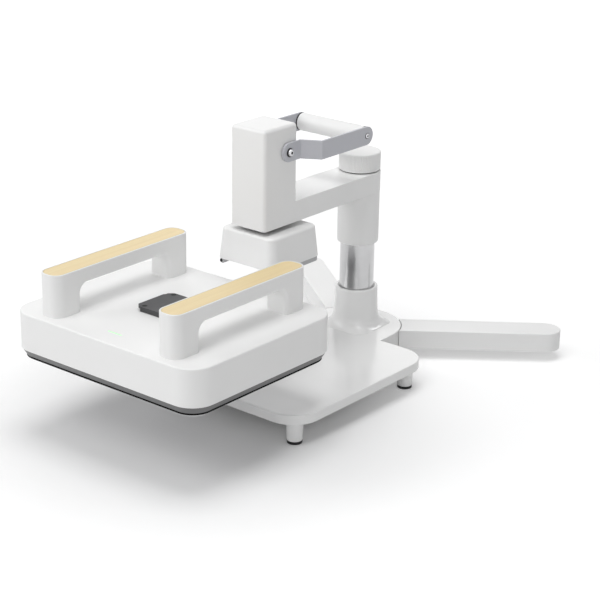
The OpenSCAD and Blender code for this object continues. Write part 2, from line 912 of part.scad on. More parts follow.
module head_floor() {
    color(rubber)
    difference() {
        translate([-cavity_w / 2 + seat, head_y - cavity_d / 2 + seat, head_floor_z])
            cube([cavity_w - 2 * seat, cavity_d - 2 * seat, head_floor_t]);
        translate([0, pivot_y, arm_under - over]) cylinder(2 * head_floor_t, r = bush_body_r + seat);
        head_screw_places() {
            translate([0, 0, -over]) cylinder(over + head_floor_t + over, r = head_screw_r + seat);
            translate([0, 0, -over])
                cylinder(over + head_screw_head_t + seat, r = head_screw_head_r + seat);
        }
    }
}

module head_screws() {
    color(steel)
    head_screw_places()
        socket_screw(head_screw_head_r, head_screw_head_t, head_screw_r, corner_post_h / 2);
}

module plunger_bush() {
    color(rubber)
    translate([0, pivot_y, head_floor_z])
        difference() {
            union() {
                cylinder(bush_top - head_floor_z, r = bush_body_r);
                translate([0, 0, head_floor_t + seat / 2])
                    cylinder(bush_flange_t, r = bush_flange_r - seat);
                cylinder(bush_len, r = bush_body_r - seat);
            }
            translate([0, 0, -over]) cylinder(bush_len + 2 * over, r = plunger_r + running);
        }
}

module axle_bushes() {
    color(rubber)
    for (side = [-1, 1])
        translate([side > 0 ? arm_w / 2 - arm_wall : -arm_w / 2, pivot_y, pivot_z])
            rotate([0, 90, 0]) ring(axle_bush_r, axle_r + running, arm_wall);
}

// Lever

module lever_axle() {
    color(steel)
    translate([-plate_in_x, pivot_y, pivot_z]) rotate([0, 90, 0]) cylinder(2 * plate_in_x, r = axle_r);
}

// Radius of the cam at the angle turned before that point faces down
function cam_radius(turn) =
    turn < 0 ? cam_base
    : turn < lever_angle ? cam_base + plunger_travel * turn / lever_angle
    : turn < lever_angle + cam_dwell ? cam_base + plunger_travel
    : turn < lever_angle + cam_dwell + cam_fall
        ? cam_base + plunger_travel * (1 - (turn - lever_angle - cam_dwell) / cam_fall)
    : cam_base;

module lever_cam() {
    color(steel)
    translate([-cam_t / 2, pivot_y, pivot_z])
        rotate([90, 0, 90])
            linear_extrude(cam_t)
                difference() {
                    polygon([for (turn = [-cam_dwell:cam_step:full_turn - cam_step - cam_dwell])
                        let (a = -90 - turn, r = cam_radius(turn)) [r * cos(a), r * sin(a)]]);
                    circle(axle_r + seat);
                }
}

// Plan of a right-hand plate: it leaves the block, bends out and runs back to the grip
module lever_plan() {
    mid_near = plate_in_x + lever_t / 2;
    mid_far = lever_w / 2 - lever_t / 2;
    turn = 90 - atan2(bend_far - bend_near, mid_far - mid_near);
    mitre = lever_t / 2 * tan(turn / 2);
    start = -lever_h / 2;
    end = lever_len + lever_h / 2;
    polygon([[mid_near + lever_t / 2, start], [mid_near + lever_t / 2, bend_near - mitre],
             [mid_far + lever_t / 2, bend_far - mitre], [mid_far + lever_t / 2, end],
             [mid_far - lever_t / 2, end], [mid_far - lever_t / 2, bend_far + mitre],
             [mid_near - lever_t / 2, bend_near + mitre], [mid_near - lever_t / 2, start]]);
}

// Side view of a plate: a long oval round the pivot and the grip
module lever_side() {
    translate([0, -lever_h / 2]) square([lever_len, lever_h]);
    for (y = [0, lever_len]) translate([y, 0]) circle(lever_h / 2);
}

module lever_plate_right() {
    color(lever_grey)
    translate([0, pivot_y, pivot_z])
        difference() {
            intersection() {
                translate([0, 0, -lever_h]) linear_extrude(2 * lever_h) lever_plan();
                rotate([90, 0, 90]) linear_extrude(lever_w) lever_side();
            }
            rotate([0, 90, 0]) cylinder(lever_w, r = pivot_shank_r + seat);
            translate([0, lever_len, 0]) rotate([0, 90, 0]) cylinder(lever_w, r = grip_shank_r + seat);
        }
}

module lever_plate_left() {
    mirror([1, 0, 0]) lever_plate_right();
}

module grip_tube() {
    color(white_paint)
    translate([-grip_half, grip_y, pivot_z]) rotate([0, 90, 0])
        ring(grip_r, grip_r - grip_tube_wall, 2 * grip_half);
}

module grip_rod() {
    plug_t = 3 * grip_tube_wall;
    color(steel)
    translate([-grip_half, grip_y, pivot_z]) rotate([0, 90, 0])
        difference() {
            union() {
                cylinder(2 * grip_half, r = grip_rod_r);
                for (z = [0, 2 * grip_half - plug_t])
                    translate([0, 0, z]) cylinder(plug_t, r = grip_r - grip_tube_wall - seat);
            }
            for (z = [-over, 2 * grip_half - plug_t])
                translate([0, 0, z]) cylinder(plug_t + over, r = grip_shank_r + seat);
        }
}

module grip_washers() {
    color(rubber)
    for (x = [-lever_out_x, grip_half])
        translate([x, grip_y, pivot_z]) rotate([0, 90, 0]) ring(grip_r, grip_rod_r, grip_washer_t);
}

module lever_screws() {
    color(chrome)
    for (side = [-1, 1]) mirror([side > 0 ? 0 : 1, 0, 0]) {
        translate([plate_in_x + lever_t + washer_t + pivot_screw_t, pivot_y, pivot_z])
            rotate([0, -90, 0])
                socket_screw(pivot_screw_r, pivot_screw_t, pivot_shank_r, washer_t + lever_t);
        translate([plate_in_x + lever_t, pivot_y, pivot_z])
            rotate([0, 90, 0]) ring(lever_washer_r, pivot_shank_r + seat, washer_t);
        translate([lever_w / 2 + grip_screw_t, grip_y, pivot_z])
            rotate([0, -90, 0])
                socket_screw(grip_screw_r, grip_screw_t, grip_shank_r,
                             lever_t + grip_washer_t + grip_tube_wall);
    }
}

// Plunger and dock

module plunger() {
    fork_x = roller_t / 2 + fork_gap;
    color(steel)
    translate([0, pivot_y, 0]) {
        difference() {
            union() {
                translate([0, 0, dock_plate_top]) cylinder(collar_top - dock_plate_top, r = plunger_r);
                translate([0, 0, collar_top - spring_collar_t])
                    cylinder(spring_collar_t, r = spring_collar_r);
                for (side = [-1, 1])
                    translate([side > 0 ? fork_x : -fork_x - fork_t, -roller_r, collar_top])
                        cube([fork_t, 2 * roller_r, fork_top - collar_top]);
            }
            translate([0, 0, dock_plate_top - over])
                cylinder(over + dock_plate_t, r = plunger_screw_r + seat);
            translate([-arm_w / 2, 0, roller_z]) rotate([0, 90, 0])
                cylinder(arm_w, r = roller_r / 2 + seat);
        }
    }
}

module cam_roller() {
    fork_x = roller_t / 2 + fork_gap;
    color(chrome)
    translate([0, pivot_y, roller_z]) rotate([0, 90, 0]) {
        translate([0, 0, -roller_t / 2]) cylinder(roller_t, r = roller_r);
        translate([0, 0, -fork_x - fork_t]) cylinder(2 * (fork_x + fork_t), r = roller_r / 2);
    }
}

module return_spring() {
    color(steel)
    translate([0, pivot_y, bush_top + play])
        ring(spring_collar_r - play, bush_body_r + play,
             collar_top - spring_collar_t - bush_top - 2 * play);
}

module dock_cover() {
    color(white_paint)
    translate([0, pivot_y, dock_low])
        difference() {
            leaning_block(dock_w, dock_d, dock_h, dock_corner, dock_taper, dock_edge);
            translate([0, 0, -over])
                rounded_slab(dock_inner_w, dock_inner_d, dock_h - dock_wall + over, dock_inner_corner);
            cylinder(dock_h + over, r = plunger_r + seat);
        }
}

module rail_screw_places() {
    translate([0, pivot_y, rail_low])
        for (sx = [-1, 1], sy = [-1, 1])
            translate([sx * rail_screw_x, sy * rail_screw_y, 0]) children();
}

module dock_plate() {
    color(steel)
    difference() {
        translate([0, pivot_y, dock_low])
            rounded_slab(dock_inner_w - 2 * seat, dock_inner_d - 2 * seat, dock_plate_t,
                         dock_inner_corner - seat);
        rail_screw_places() cylinder(2 * rail_h + dock_plate_t, r = rail_screw_r + seat);
        translate([0, pivot_y, dock_low - over]) {
            cylinder(dock_plate_t + 2 * over, r = plunger_screw_r + seat);
            cylinder(over + plunger_screw_head_t + seat, r = plunger_screw_head_r + seat);
        }
    }
}

module dock_rails() {
    front = -dock_d;
    stop = dock_stop_y - pivot_y;
    color(rim_grey)
    difference() {
        translate([0, pivot_y, rail_low])
            rounded_slab(dock_w - 2 * rail_inset, dock_d - 2 * rail_inset, rail_h,
                         dock_corner - rail_inset);
        translate([-slot_w / 2, pivot_y + front, rail_low + hook_t])
            cube([slot_w, stop - front, rail_h]);
        translate([-slot_w / 2, pivot_y + front, rail_low - over])
            cube([slot_w, stop - hook_len - front, rail_h]);
        translate([-hook_w / 2, pivot_y + front, rail_low - over])
            cube([hook_w, stop - front, rail_h]);
        rail_screw_places() {
            translate([0, 0, -over]) cylinder(rail_h + 2 * over, r = rail_screw_r + seat);
            translate([0, 0, -over])
                cylinder(over + rail_screw_head_t + seat, r = rail_screw_head_r + seat);
        }
        for (sx = [-1, 1])
            translate([sx * stud_x, pivot_y - dock_d / 2, stud_z]) rotate([-90, 0, 0])
                cylinder(stud_len + seat, r = stud_r + seat);
    }
}

module catch_studs() {
    color(rubber)
    for (sx = [-1, 1])
        translate([sx * stud_x, pivot_y - dock_d / 2 + rail_inset, stud_z]) rotate([-90, 0, 0])
            cylinder(stud_len - rail_inset, r = stud_r);
}

module dock_screws() {
    color(steel) {
        rail_screw_places()
            socket_screw(rail_screw_head_r, rail_screw_head_t, rail_screw_r,
                         rail_h + dock_plate_t - rail_screw_head_t);
        translate([0, pivot_y, dock_low])
            socket_screw(plunger_screw_head_r, plunger_screw_head_t, plunger_screw_r,
                         2 * dock_plate_t - plunger_screw_head_t - seat);
    }
}

// Press

module press_shell() {
    color(white_paint)
    translate([0, press_y, 0])
        difference() {
            translate([0, 0, shell_low]) soft_block(press_w, press_d, shell_h, press_corner, shell_edge);
            translate([0, 0, shell_low - over])
                rounded_slab(press_w - 2 * shell_wall, press_d - 2 * shell_wall,
                             shell_h - shell_wall + over, press_corner - shell_wall);
            light_slot(seat, over);
            bracket_screw_places(0) translate([0, 0, shell_ceiling - over])
                cylinder(shell_wall + 2 * over, r = bracket_screw_shank_r + seat);
            handle_screw_places() translate([0, 0, shell_ceiling - over])
                cylinder(shell_wall + 2 * over, r = handle_screw_r + seat);
            inlet_place() translate([-inlet_w / 2 - seat, -inlet_depth, -inlet_h / 2 - seat])
                cube([inlet_w + 2 * seat, 2 * inlet_depth, inlet_h + 2 * seat]);
        }
}

module heat_rim() {
    color(rim_grey)
    translate([0, press_y, 0])
        difference() {
            hull() {
                translate([0, 0, shell_low - tiny_round])
                    rounded_slab(press_w, press_d, tiny_round, press_corner, $fn = hull_fn);
                translate([0, 0, rim_low])
                    rounded_slab(platen_w + 2 * rim_wall, platen_d + 2 * rim_wall, tiny_round / 4,
                                 platen_corner + rim_wall, $fn = hull_fn);
            }
            translate([0, 0, rim_low - over])
                rounded_slab(platen_w + 2 * play, platen_d + 2 * play, rim_h + 2 * over,
                             platen_corner + play);
        }
}

module platen_seal() {
    color(rubber)
    translate([0, press_y, rim_low - seal_t])
        difference() {
            rounded_slab(platen_w + rim_wall + play, platen_d + rim_wall + play, seal_t,
                         platen_corner + rim_wall / 2 + play / 2);
            translate([0, 0, -over])
                rounded_slab(platen_w + play, platen_d + play, seal_t + 2 * over,
                             platen_corner + play / 2);
        }
}

module platen_body(z, t) {
    translate([0, press_y, z]) rounded_slab(platen_w, platen_d, t, platen_corner);
}

module heated_platen() {
    color(steel) platen_body(platen_low, platen_t);
}

module platen_post_places() {
    for (sx = [-1, 1], sy = [-1, 0, 1])
        translate([sx * post_x, press_y + sy * post_y, 0]) children();
}

module heating_film() {
    color(wood)
    difference() {
        platen_body(platen_top, film_t);
        platen_post_places() translate([0, 0, platen_top - over])
            cylinder(film_t + 2 * over, r = platen_post_r + seat);
    }
}

module insulation_board() {
    color(board_white)
    difference() {
        platen_body(film_top, insulation_t);
        platen_post_places() translate([0, 0, film_top - over])
            cylinder(insulation_t + 2 * over, r = platen_post_r + seat);
    }
}

module platen_posts() {
    color(steel)
    platen_post_places()
        translate([0, 0, platen_top]) cylinder(shell_ceiling - platen_top, r = platen_post_r);
}

module control_board() {
    color(board_green)
    translate([0, press_y, 0]) {
        translate([-board_w / 2, -board_d / 2, board_low]) cube([board_w, board_d, board_t]);
        for (sx = [-1, 1], sy = [-1, 1])
            translate([sx * board_post_x, sy * board_post_y, board_low])
                cylinder(shell_ceiling - board_low, r = board_post_r);
    }
}

module light_slot(grow, extra) {
    translate([0, -press_d / 2 + light_inset, shell_ceiling - extra])
        linear_extrude(shell_wall + 2 * extra) {
            square([light_len - light_w + 2 * grow, light_w + 2 * grow], center = true);
            for (sx = [-1, 1]) translate([sx * (light_len - light_w) / 2, 0]) circle(light_w / 2 + grow);
        }
}

module status_light() {
    color(light_green)
    translate([0, press_y, 0]) light_slot(0, 0);
}

// Places of the four bracket screws, at height z
module bracket_screw_places(z) {
    for (sx = [-1, 1], sy = [-1, 1])
        translate([sx * bracket_hole_x / 2, sy * bracket_hole_y / 2, z]) children();
}

// The flange is chamfered at its corners, and steps in ahead of each ear
module flange_plan() {
    hw = bracket_w / 2;
    hd = bracket_d / 2;
    ear_y = hd - bracket_chamfer - ear_w + ear_step;
    half = [[hw - bracket_chamfer, -hd], [hw, -hd + bracket_chamfer], [hw, ear_y - ear_step],
            [hw - ear_step, ear_y], [hw - ear_step, hd - bracket_chamfer],
            [hw - bracket_chamfer - ear_step, hd]];
    polygon(concat(half, [for (i = [len(half) - 1:-1:0]) [-half[i][0], half[i][1]]]));
}

module dock_bracket() {
    color(bracket_black)
    translate([0, press_y, 0])
        difference() {
            union() {
                translate([-neck_w / 2, -bracket_d / 2 + slot_gap, shell_top])
                    cube([neck_w, bracket_d - 2 * slot_gap, neck_t]);
                translate([0, 0, neck_top]) linear_extrude(flange_t) flange_plan();
            }
            bracket_screw_places(shell_top - over)
                cylinder(neck_t + flange_t + 2 * over, r = bracket_screw_shank_r + seat);
            bracket_screw_places(bracket_top - bracket_screw_head_t - slot_gap)
                cylinder(bracket_screw_head_t + slot_gap + over, r = bracket_screw_r + seat);
        }
}

module bracket_screws() {
    color(rubber)
    translate([0, press_y, 0])
        bracket_screw_places(bracket_top - slot_gap) mirror([0, 0, 1])
            socket_screw(bracket_screw_r, bracket_screw_head_t, bracket_screw_shank_r,
                         neck_t + flange_t + shell_wall - bracket_screw_head_t);
}

// Handles

module handle_arch() {
    rotate([90, 0, 90]) translate([0, 0, -handle_w]) linear_extrude(2 * handle_w) {
        translate([-arch_w / 2, -over]) square([arch_w, arch_h - arch_r + over]);
        translate([-arch_w / 2 + arch_r, -over]) square([arch_w - 2 * arch_r, arch_h + over]);
        for (sy = [-1, 1])
            translate([sy * (arch_w / 2 - arch_r), arch_h - arch_r]) circle(arch_r);
    }
}

module handle(side) {
    color(white_paint)
    translate([side * handle_span / 2, press_y, shell_top])
        difference() {
            rounded_slab(handle_w, handle_len, handle_h, handle_corner);
            handle_arch();
            translate([0, 0, handle_h - inlay_t])
                rounded_slab(inlay_w + 2 * seat, inlay_len + 2 * seat, inlay_t + over,
                             inlay_corner + seat);
            for (sy = [-1, 1])
                translate([0, sy * handle_screw_y, -over])
                    cylinder(handle_screw_depth + over, r = handle_screw_r + seat);
        }
}

module inlay(side) {
    color(wood)
    translate([side * handle_span / 2, press_y, handle_top - inlay_t])
        rounded_slab(inlay_w, inlay_len, inlay_t, inlay_corner);
}

module handle_left() handle(-1);
module handle_right() handle(1);
module inlay_left() inlay(-1);
module inlay_right() inlay(1);

module handle_screw_places() {
    for (sx = [-1, 1], sy = [-1, 1])
        translate([sx * handle_span / 2, sy * handle_screw_y, 0]) children();
}

module handle_screws() {
    color(steel)
    translate([0, press_y, 0])
        handle_screw_places() translate([0, 0, shell_ceiling - handle_screw_head_t])
            socket_screw(handle_screw_head_r, handle_screw_head_t, handle_screw_r,
                         shell_wall + handle_screw_depth - seat);
}

module inlet_place() {
    translate([inlet_x, press_d / 2, inlet_z]) children();
}

module power_inlet() {
    color(rubber)
    translate([0, press_y, 0]) inlet_place() {
        difference() {
            translate([-inlet_w / 2, -inlet_depth, -inlet_h / 2])
                cube([inlet_w, inlet_depth - seat, inlet_h]);
            translate([inlet_face_t - inlet_w / 2, inlet_face_t - inlet_depth, inlet_face_t - inlet_h / 2])
                cube([inlet_w - 2 * inlet_face_t, inlet_depth, inlet_h - 2 * inlet_face_t]);
        }
        for (i = [-1:1])
            translate([i * inlet_blade_gap - inlet_blade_w / 2, inlet_face_t - inlet_depth, 0])
                translate([0, 0, -inlet_blade_h / 2]) cube([inlet_blade_w, inlet_blade_len, inlet_blade_h]);
    }
}

base_casting();
base_feet();
foot_pads();
hub_cover();
leg_hinge_pin();
hub_screws();
column_tube();
lift_nut();
leg_right();
leg_link_right();
leg_floor_right();
leg_screws_right();
leg_left();
leg_link_left();
leg_floor_left();
leg_screws_left();
guide_bush();
thrust_bearing();
height_knob();
lift_screw();
knob_washer();
arm_casting();
arm_cover();
head_floor();
plunger_bush();
axle_bushes();
head_screws();
lever_axle();
lever_cam();
lever_plate_right();
lever_plate_left();
grip_tube();
grip_rod();
grip_washers();
lever_screws();
plunger();
cam_roller();
return_spring();
dock_cover();
dock_plate();
dock_rails();
catch_studs();
dock_screws();
press_shell();
heat_rim();
platen_seal();
heated_platen();
heating_film();
insulation_board();
platen_posts();
control_board();
status_light();
dock_bracket();
bracket_screws();
handle_left();
handle_right();
inlay_left();
inlay_right();
power_inlet();
handle_screws();
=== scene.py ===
# %% [markdown]
# # A two-handled heat press, lifted off its swing-arm stand
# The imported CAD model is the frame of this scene: it gives every place and size in metres.
# This script dresses it. Pieces whose CAD shape is right keep it and get a better finish, and
# pieces that need soft edges or fine ribs are made again here, in the same place.

# %% Load the frame
import json
import math

import bmesh
import bpy
from mathutils import Matrix, Vector


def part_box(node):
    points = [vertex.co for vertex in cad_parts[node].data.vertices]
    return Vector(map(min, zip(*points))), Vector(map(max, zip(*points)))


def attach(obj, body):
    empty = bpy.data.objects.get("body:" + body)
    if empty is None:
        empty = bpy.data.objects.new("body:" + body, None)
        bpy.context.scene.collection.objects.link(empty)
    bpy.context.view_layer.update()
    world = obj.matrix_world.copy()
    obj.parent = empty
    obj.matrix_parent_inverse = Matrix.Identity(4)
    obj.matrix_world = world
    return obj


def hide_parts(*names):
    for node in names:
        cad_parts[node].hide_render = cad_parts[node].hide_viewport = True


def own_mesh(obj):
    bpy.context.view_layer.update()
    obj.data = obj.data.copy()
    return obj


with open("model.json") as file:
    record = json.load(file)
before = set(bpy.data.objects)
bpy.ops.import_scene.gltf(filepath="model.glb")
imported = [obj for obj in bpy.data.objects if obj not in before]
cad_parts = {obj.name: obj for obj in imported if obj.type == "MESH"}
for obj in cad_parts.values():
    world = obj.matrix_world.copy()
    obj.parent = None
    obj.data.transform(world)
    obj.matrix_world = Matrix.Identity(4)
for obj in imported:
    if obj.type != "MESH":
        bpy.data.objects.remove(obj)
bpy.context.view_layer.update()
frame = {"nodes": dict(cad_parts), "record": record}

MM = 0.001

# %% [markdown]
# ## Finishes
# A finish is a small tree of shader nodes. Each one starts from a Principled shader whose plain
# numbers are set on the shader itself, and adds procedural noise, read in Object coordinates, for
# the slight unevenness that keeps a surface from looking like computer plastic. No picture files
# are used, so a finish has detail at any distance.


# %% A tree to start from
def new_finish(name, color, roughness, metallic=0.0):
    material = bpy.data.materials.new(name)
    material.use_nodes = True
    tree = material.node_tree
    shader = tree.nodes["Principled BSDF"]
    shader.inputs["Base Color"].default_value = (*color, 1.0)
    shader.inputs["Roughness"].default_value = roughness
    shader.inputs["Metallic"].default_value = metallic
    place = tree.nodes.new("ShaderNodeTexCoord")
    return material, tree, shader, place.outputs["Object"]


def wire(tree, *links):
    """Joins nodes. Each link names a node, its output, the next node and its input."""
    for source, output, target, socket in links:
        tree.links.new(source.outputs[output], target.inputs[socket])


def noise(tree, where, scale, detail=3.0):
    texture = tree.nodes.new("ShaderNodeTexNoise")
    texture.inputs["Scale"].default_value = scale
    texture.inputs["Detail"].default_value = detail
    tree.links.new(where, texture.inputs["Vector"])
    return texture.outputs["Fac"]


def stretched(tree, where, x, y, z):
    mapping = tree.nodes.new("ShaderNodeMapping")
    mapping.inputs["Scale"].default_value = (x, y, z)
    tree.links.new(where, mapping.inputs["Vector"])
    return mapping.outputs["Vector"]


def ramp(tree, value, low, high):
    blend = tree.nodes.new("ShaderNodeValToRGB")
    blend.color_ramp.elements[0].position = 0.3
    blend.color_ramp.elements[1].position = 0.7
    blend.color_ramp.elements[0].color = (*low, 1.0)
    blend.color_ramp.elements[1].color = (*high, 1.0)
    tree.links.new(value, blend.inputs["Fac"])
    return blend.outputs["Color"]


def span(tree, value, low, high):
    scale = tree.nodes.new("ShaderNodeMapRange")
    scale.inputs["To Min"].default_value = low
    scale.inputs["To Max"].default_value = high
    tree.links.new(value, scale.inputs["Value"])
    return scale.outputs["Result"]


def bump(tree, shader, height, distance, strength):
    relief = tree.nodes.new("ShaderNodeBump")
    relief.inputs["Distance"].default_value = distance
    relief.inputs["Strength"].default_value = strength
    tree.links.new(height, relief.inputs["Height"])
    wire(tree, (relief, "Normal", shader, "Normal"))


def climb(tree, value, kind, first, last, strength):
    """Goes from 0 to strength as a value goes from first to last."""
    share = tree.nodes.new("ShaderNodeMapRange")
    share.interpolation_type = kind
    share.inputs["From Min"].default_value = first
    share.inputs["From Max"].default_value = last
    share.inputs["To Max"].default_value = strength
    tree.links.new(value, share.inputs["Value"])
    return share.outputs["Result"]


def mixed(tree, factor, first, second):
    """Blends two colours. Each of the last three is a value or the output of another node."""
    mix = tree.nodes.new("ShaderNodeMix")
    mix.data_type = "RGBA"
    for socket, given in (("Factor", factor), ("A", first), ("B", second)):
        if isinstance(given, bpy.types.NodeSocket):
            tree.links.new(given, mix.inputs[socket])
        else:
            mix.inputs[socket].default_value = given
    return mix.outputs["Result"]


# %% [markdown]
# ## White paint and white plastic
# The stand is cast metal under smooth white paint, and the press is moulded white plastic. From a
# step away they differ little: the paint is a touch glossier with a faint long orange peel, and
# the plastic has a very fine spark-eroded grain. Both vary in colour by one and a half percent.


# %% Paint and moulded plastic
DEEP_SHARE = 0.985


def mottled(name, color, roughness, cloud, sheen, grain):
    """A coat of one colour that is slightly uneven.

    cloud holds the scale and detail of the noise in its colour, sheen the scale and reach of the
    noise in its roughness, and grain the scale, depth and strength of its relief.
    """
    material, tree, shader, where = new_finish(name, color, roughness)
    deep = tuple(c * DEEP_SHARE for c in color)
    tree.links.new(ramp(tree, noise(tree, where, *cloud), deep, color), shader.inputs["Base Color"])
    sheen_scale, reach = sheen
    tree.links.new(span(tree, noise(tree, where, sheen_scale), roughness - reach, roughness + reach),
                   shader.inputs["Roughness"])
    grain_scale, depth, strength = grain
    bump(tree, shader, noise(tree, where, grain_scale, 2.0), depth, strength)
    return material


def painted(name, color, roughness, peel_scale=260.0):
    return mottled(name, color, roughness, (14.0, 4.0), (90.0, 0.04), (peel_scale, 0.00012, 0.12))


def moulded(name, color, roughness):
    return mottled(name, color, roughness, (9.0, 3.0), (220.0, 0.05), (2600.0, 0.00005, 0.25))


WHITE = (0.88, 0.88, 0.875)
white_paint = painted("white_paint", WHITE, 0.42)
plate_paint = painted("plate_paint", WHITE, 0.2)
white_plastic = moulded("white_plastic", WHITE, 0.48)
black_plastic = moulded("black_plastic", (0.018, 0.018, 0.019), 0.5)
grey_plastic = moulded("grey_plastic", (0.5, 0.5, 0.51), 0.5)
polished_black = moulded("polished_black", (0.008, 0.008, 0.009), 0.22)
print("finishes so far:", [m.name for m in bpy.data.materials])

# %% [markdown]
# ## Metals
# The column is polished chrome, so it shows what stands round it. Chromium gives back a little
# more than half of the light that meets it. The other steel is turned or brushed, and its fine
# scratches run round or along the piece: noise that is stretched along one axis gives them.


# %% Chrome, brushed steel, grey lever paint
def metal(name, color, roughness, streak, scratch):
    material, tree, shader, where = new_finish(name, color, roughness, 1.0)
    lines = noise(tree, stretched(tree, where, *streak), 60.0, 6.0)
    tree.links.new(span(tree, lines, roughness * 0.8, roughness * 1.25), shader.inputs["Roughness"])
    deep = tuple(c * 0.94 for c in color)
    tree.links.new(ramp(tree, lines, deep, color), shader.inputs["Base Color"])
    bump(tree, shader, lines, 0.00003, scratch)
    return material


chrome = metal("chrome", (0.55, 0.55, 0.555), 0.09, (1.0, 1.0, 1.0), 0.0)
steel = metal("brushed_steel", (0.6, 0.6, 0.61), 0.34, (1.0, 1.0, 30.0), 0.15)
bright_steel = metal("bright_steel", (0.62, 0.62, 0.64), 0.24, (20.0, 1.0, 1.0), 0.05)
lever_paint = painted("lever_paint", (0.545, 0.55, 0.59), 0.4, 320.0)
bracket_paint = painted("bracket_paint", (0.055, 0.055, 0.058), 0.55, 900.0)
# Near black: the bracket's screws, and painted shade in the lever's screw sockets and round its screw
# heads.
dark_screw = moulded("dark_screw", (0.004, 0.004, 0.004), 0.6)

# %% [markdown]
# The rim is grey plastic of one colour all round, so its bright and dark sides come from the light.
# The heated plate is bare metal at its edge and greyer below, where a non-stick coat covers it.
# That change is told by height.


# %% Rim and heated plate
CHANGE_MM = 0.05
COAT_TOP_MM = 0.2


def two_by_height(tree, where, height, below, above):
    """One colour below a height in mm and another above it, with a short change between."""
    split = tree.nodes.new("ShaderNodeSeparateXYZ")
    tree.links.new(where, split.inputs["Vector"])
    share = climb(tree, split.outputs["Z"], "LINEAR", height * MM, (height + CHANGE_MM) * MM, 1.0)
    return mixed(tree, share, (*below, 1.0), (*above, 1.0))


def plate_finish(name, bare, coat, coat_height, roughness, metallic):
    material, tree, shader, where = new_finish(name, bare, roughness, metallic)
    tree.links.new(two_by_height(tree, where, coat_height, coat, bare), shader.inputs["Base Color"])
    bump(tree, shader, noise(tree, where, 700.0), 0.00004, 0.2)
    return material


rim_grey = moulded("rim_grey", (0.15, 0.15, 0.152), 0.4)
# The seal is near black with almost no gloss: partly its rubber, partly painted shade of the gap.
seal_black_and_painted_shade = moulded("seal_black_and_painted_shade", (0.003, 0.003, 0.003), 0.9)
seal_black_and_painted_shade.node_tree.nodes["Principled BSDF"].inputs["Specular IOR Level"].default_value = 0.1
plate_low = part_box("heated_platen")[0].z / MM
heated_plate = plate_finish("heated_plate", (0.7, 0.7, 0.705), (0.62, 0.62, 0.63),
                            plate_low + COAT_TOP_MM, 0.4, 0.4)

# %% [markdown]
# ## Wood, boards and the status light
# The grips are inlaid with pale bamboo, whose long straight fibres run the length of the handle:
# two noises stretched along Y give the fibres and the broader strips. The boards inside the press
# are hidden, so a fine speckle is all that they get.


# %% Bamboo
FIBRE_SHARE = 0.22


def bamboo(name):
    light, mid, dark = (0.845, 0.695, 0.405), (0.795, 0.63, 0.345), (0.66, 0.5, 0.25)
    material, tree, shader, where = new_finish(name, light, 0.46)
    fibre = noise(tree, stretched(tree, where, 900.0, 14.0, 300.0), 1.0, 5.0)
    strip = noise(tree, stretched(tree, where, 130.0, 3.0, 60.0), 1.0, 2.0)
    base = ramp(tree, strip, mid, light)
    lines = ramp(tree, fibre, dark, light)
    tree.links.new(mixed(tree, FIBRE_SHARE, base, lines), shader.inputs["Base Color"])
    tree.links.new(span(tree, fibre, 0.4, 0.55), shader.inputs["Roughness"])
    bump(tree, shader, fibre, 0.00008, 0.25)
    return material


# %% Boards and the status light
def speckled(name, color, roughness, scale):
    material, tree, shader, where = new_finish(name, color, roughness)
    deep = tuple(c * 0.85 for c in color)
    tree.links.new(ramp(tree, noise(tree, where, scale, 5.0), deep, color), shader.inputs["Base Color"])
    bump(tree, shader, noise(tree, where, scale * 3.0), 0.0001, 0.3)
    return material


def glowing(name, color, strength):
    material, tree, shader, where = new_finish(name, color, 0.3)
    shader.inputs["Emission Color"].default_value = (*color, 1.0)
    shader.inputs["Emission Strength"].default_value = strength
    bump(tree, shader, noise(tree, where, 900.0), 0.00002, 0.2)
    return material


pale_bamboo = bamboo("pale_bamboo")
fibre_board = speckled("fibre_board", (0.72, 0.7, 0.64), 0.9, 300.0)
heating_amber = speckled("heating_amber", (0.55, 0.3, 0.06), 0.35, 90.0)
circuit_green = speckled("circuit_green", (0.03, 0.16, 0.07), 0.4, 400.0)
status_green = glowing("status_green", (0.42, 0.86, 0.42), 0.35)
print(len(bpy.data.materials), "finishes")

# %% [markdown]
# ## Carried-over CAD pieces
# Every CAD piece gets its finish first. The ones that are made again below are then hidden, and
# the others stay as they are. A dictionary from finish to pieces keeps this in one place.

# %% Finish the CAD pieces
SMOOTH_ANGLE = 32.0
FINISH_OF = {
    plate_paint: ["base_casting"],
    white_paint: ["leg_right", "leg_left", "leg_floor_right", "leg_floor_left", "hub_cover",
                  "arm_casting", "arm_cover"],
    white_plastic: ["base_feet", "dock_cover", "press_shell", "handle_left", "handle_right",
                    "height_knob", "grip_tube"],
    polished_black: ["foot_pads"],
    seal_black_and_painted_shade: ["platen_seal"],
    # head_floor is black as painted shade of the narrow gap between the head and the dock.
    black_plastic: ["guide_bush", "plunger_bush", "axle_bushes", "knob_washer", "grip_washers",
                    "catch_studs", "power_inlet", "head_floor"],
    steel: ["leg_hinge_pin", "hub_screws", "lift_nut", "leg_link_right", "leg_link_left",
            "leg_screws_right", "leg_screws_left", "thrust_bearing", "lift_screw", "head_screws",
            "lever_axle", "lever_cam", "grip_rod", "plunger", "return_spring", "dock_plate",
            "dock_screws", "platen_posts", "handle_screws"],
    chrome: ["column_tube"],
    bright_steel: ["cam_roller", "lever_screws"],
    lever_paint: ["lever_plate_right", "lever_plate_left"],
    grey_plastic: ["dock_rails"],
    rim_grey: ["heat_rim"],
    heated_plate: ["heated_platen"],
    heating_amber: ["heating_film"],
    fibre_board: ["insulation_board"],
    circuit_green: ["control_board"],
    status_green: ["status_light"],
    bracket_paint: ["dock_bracket"],
    dark_screw: ["bracket_screws"],
    pale_bamboo: ["inlay_left", "inlay_right"],
}
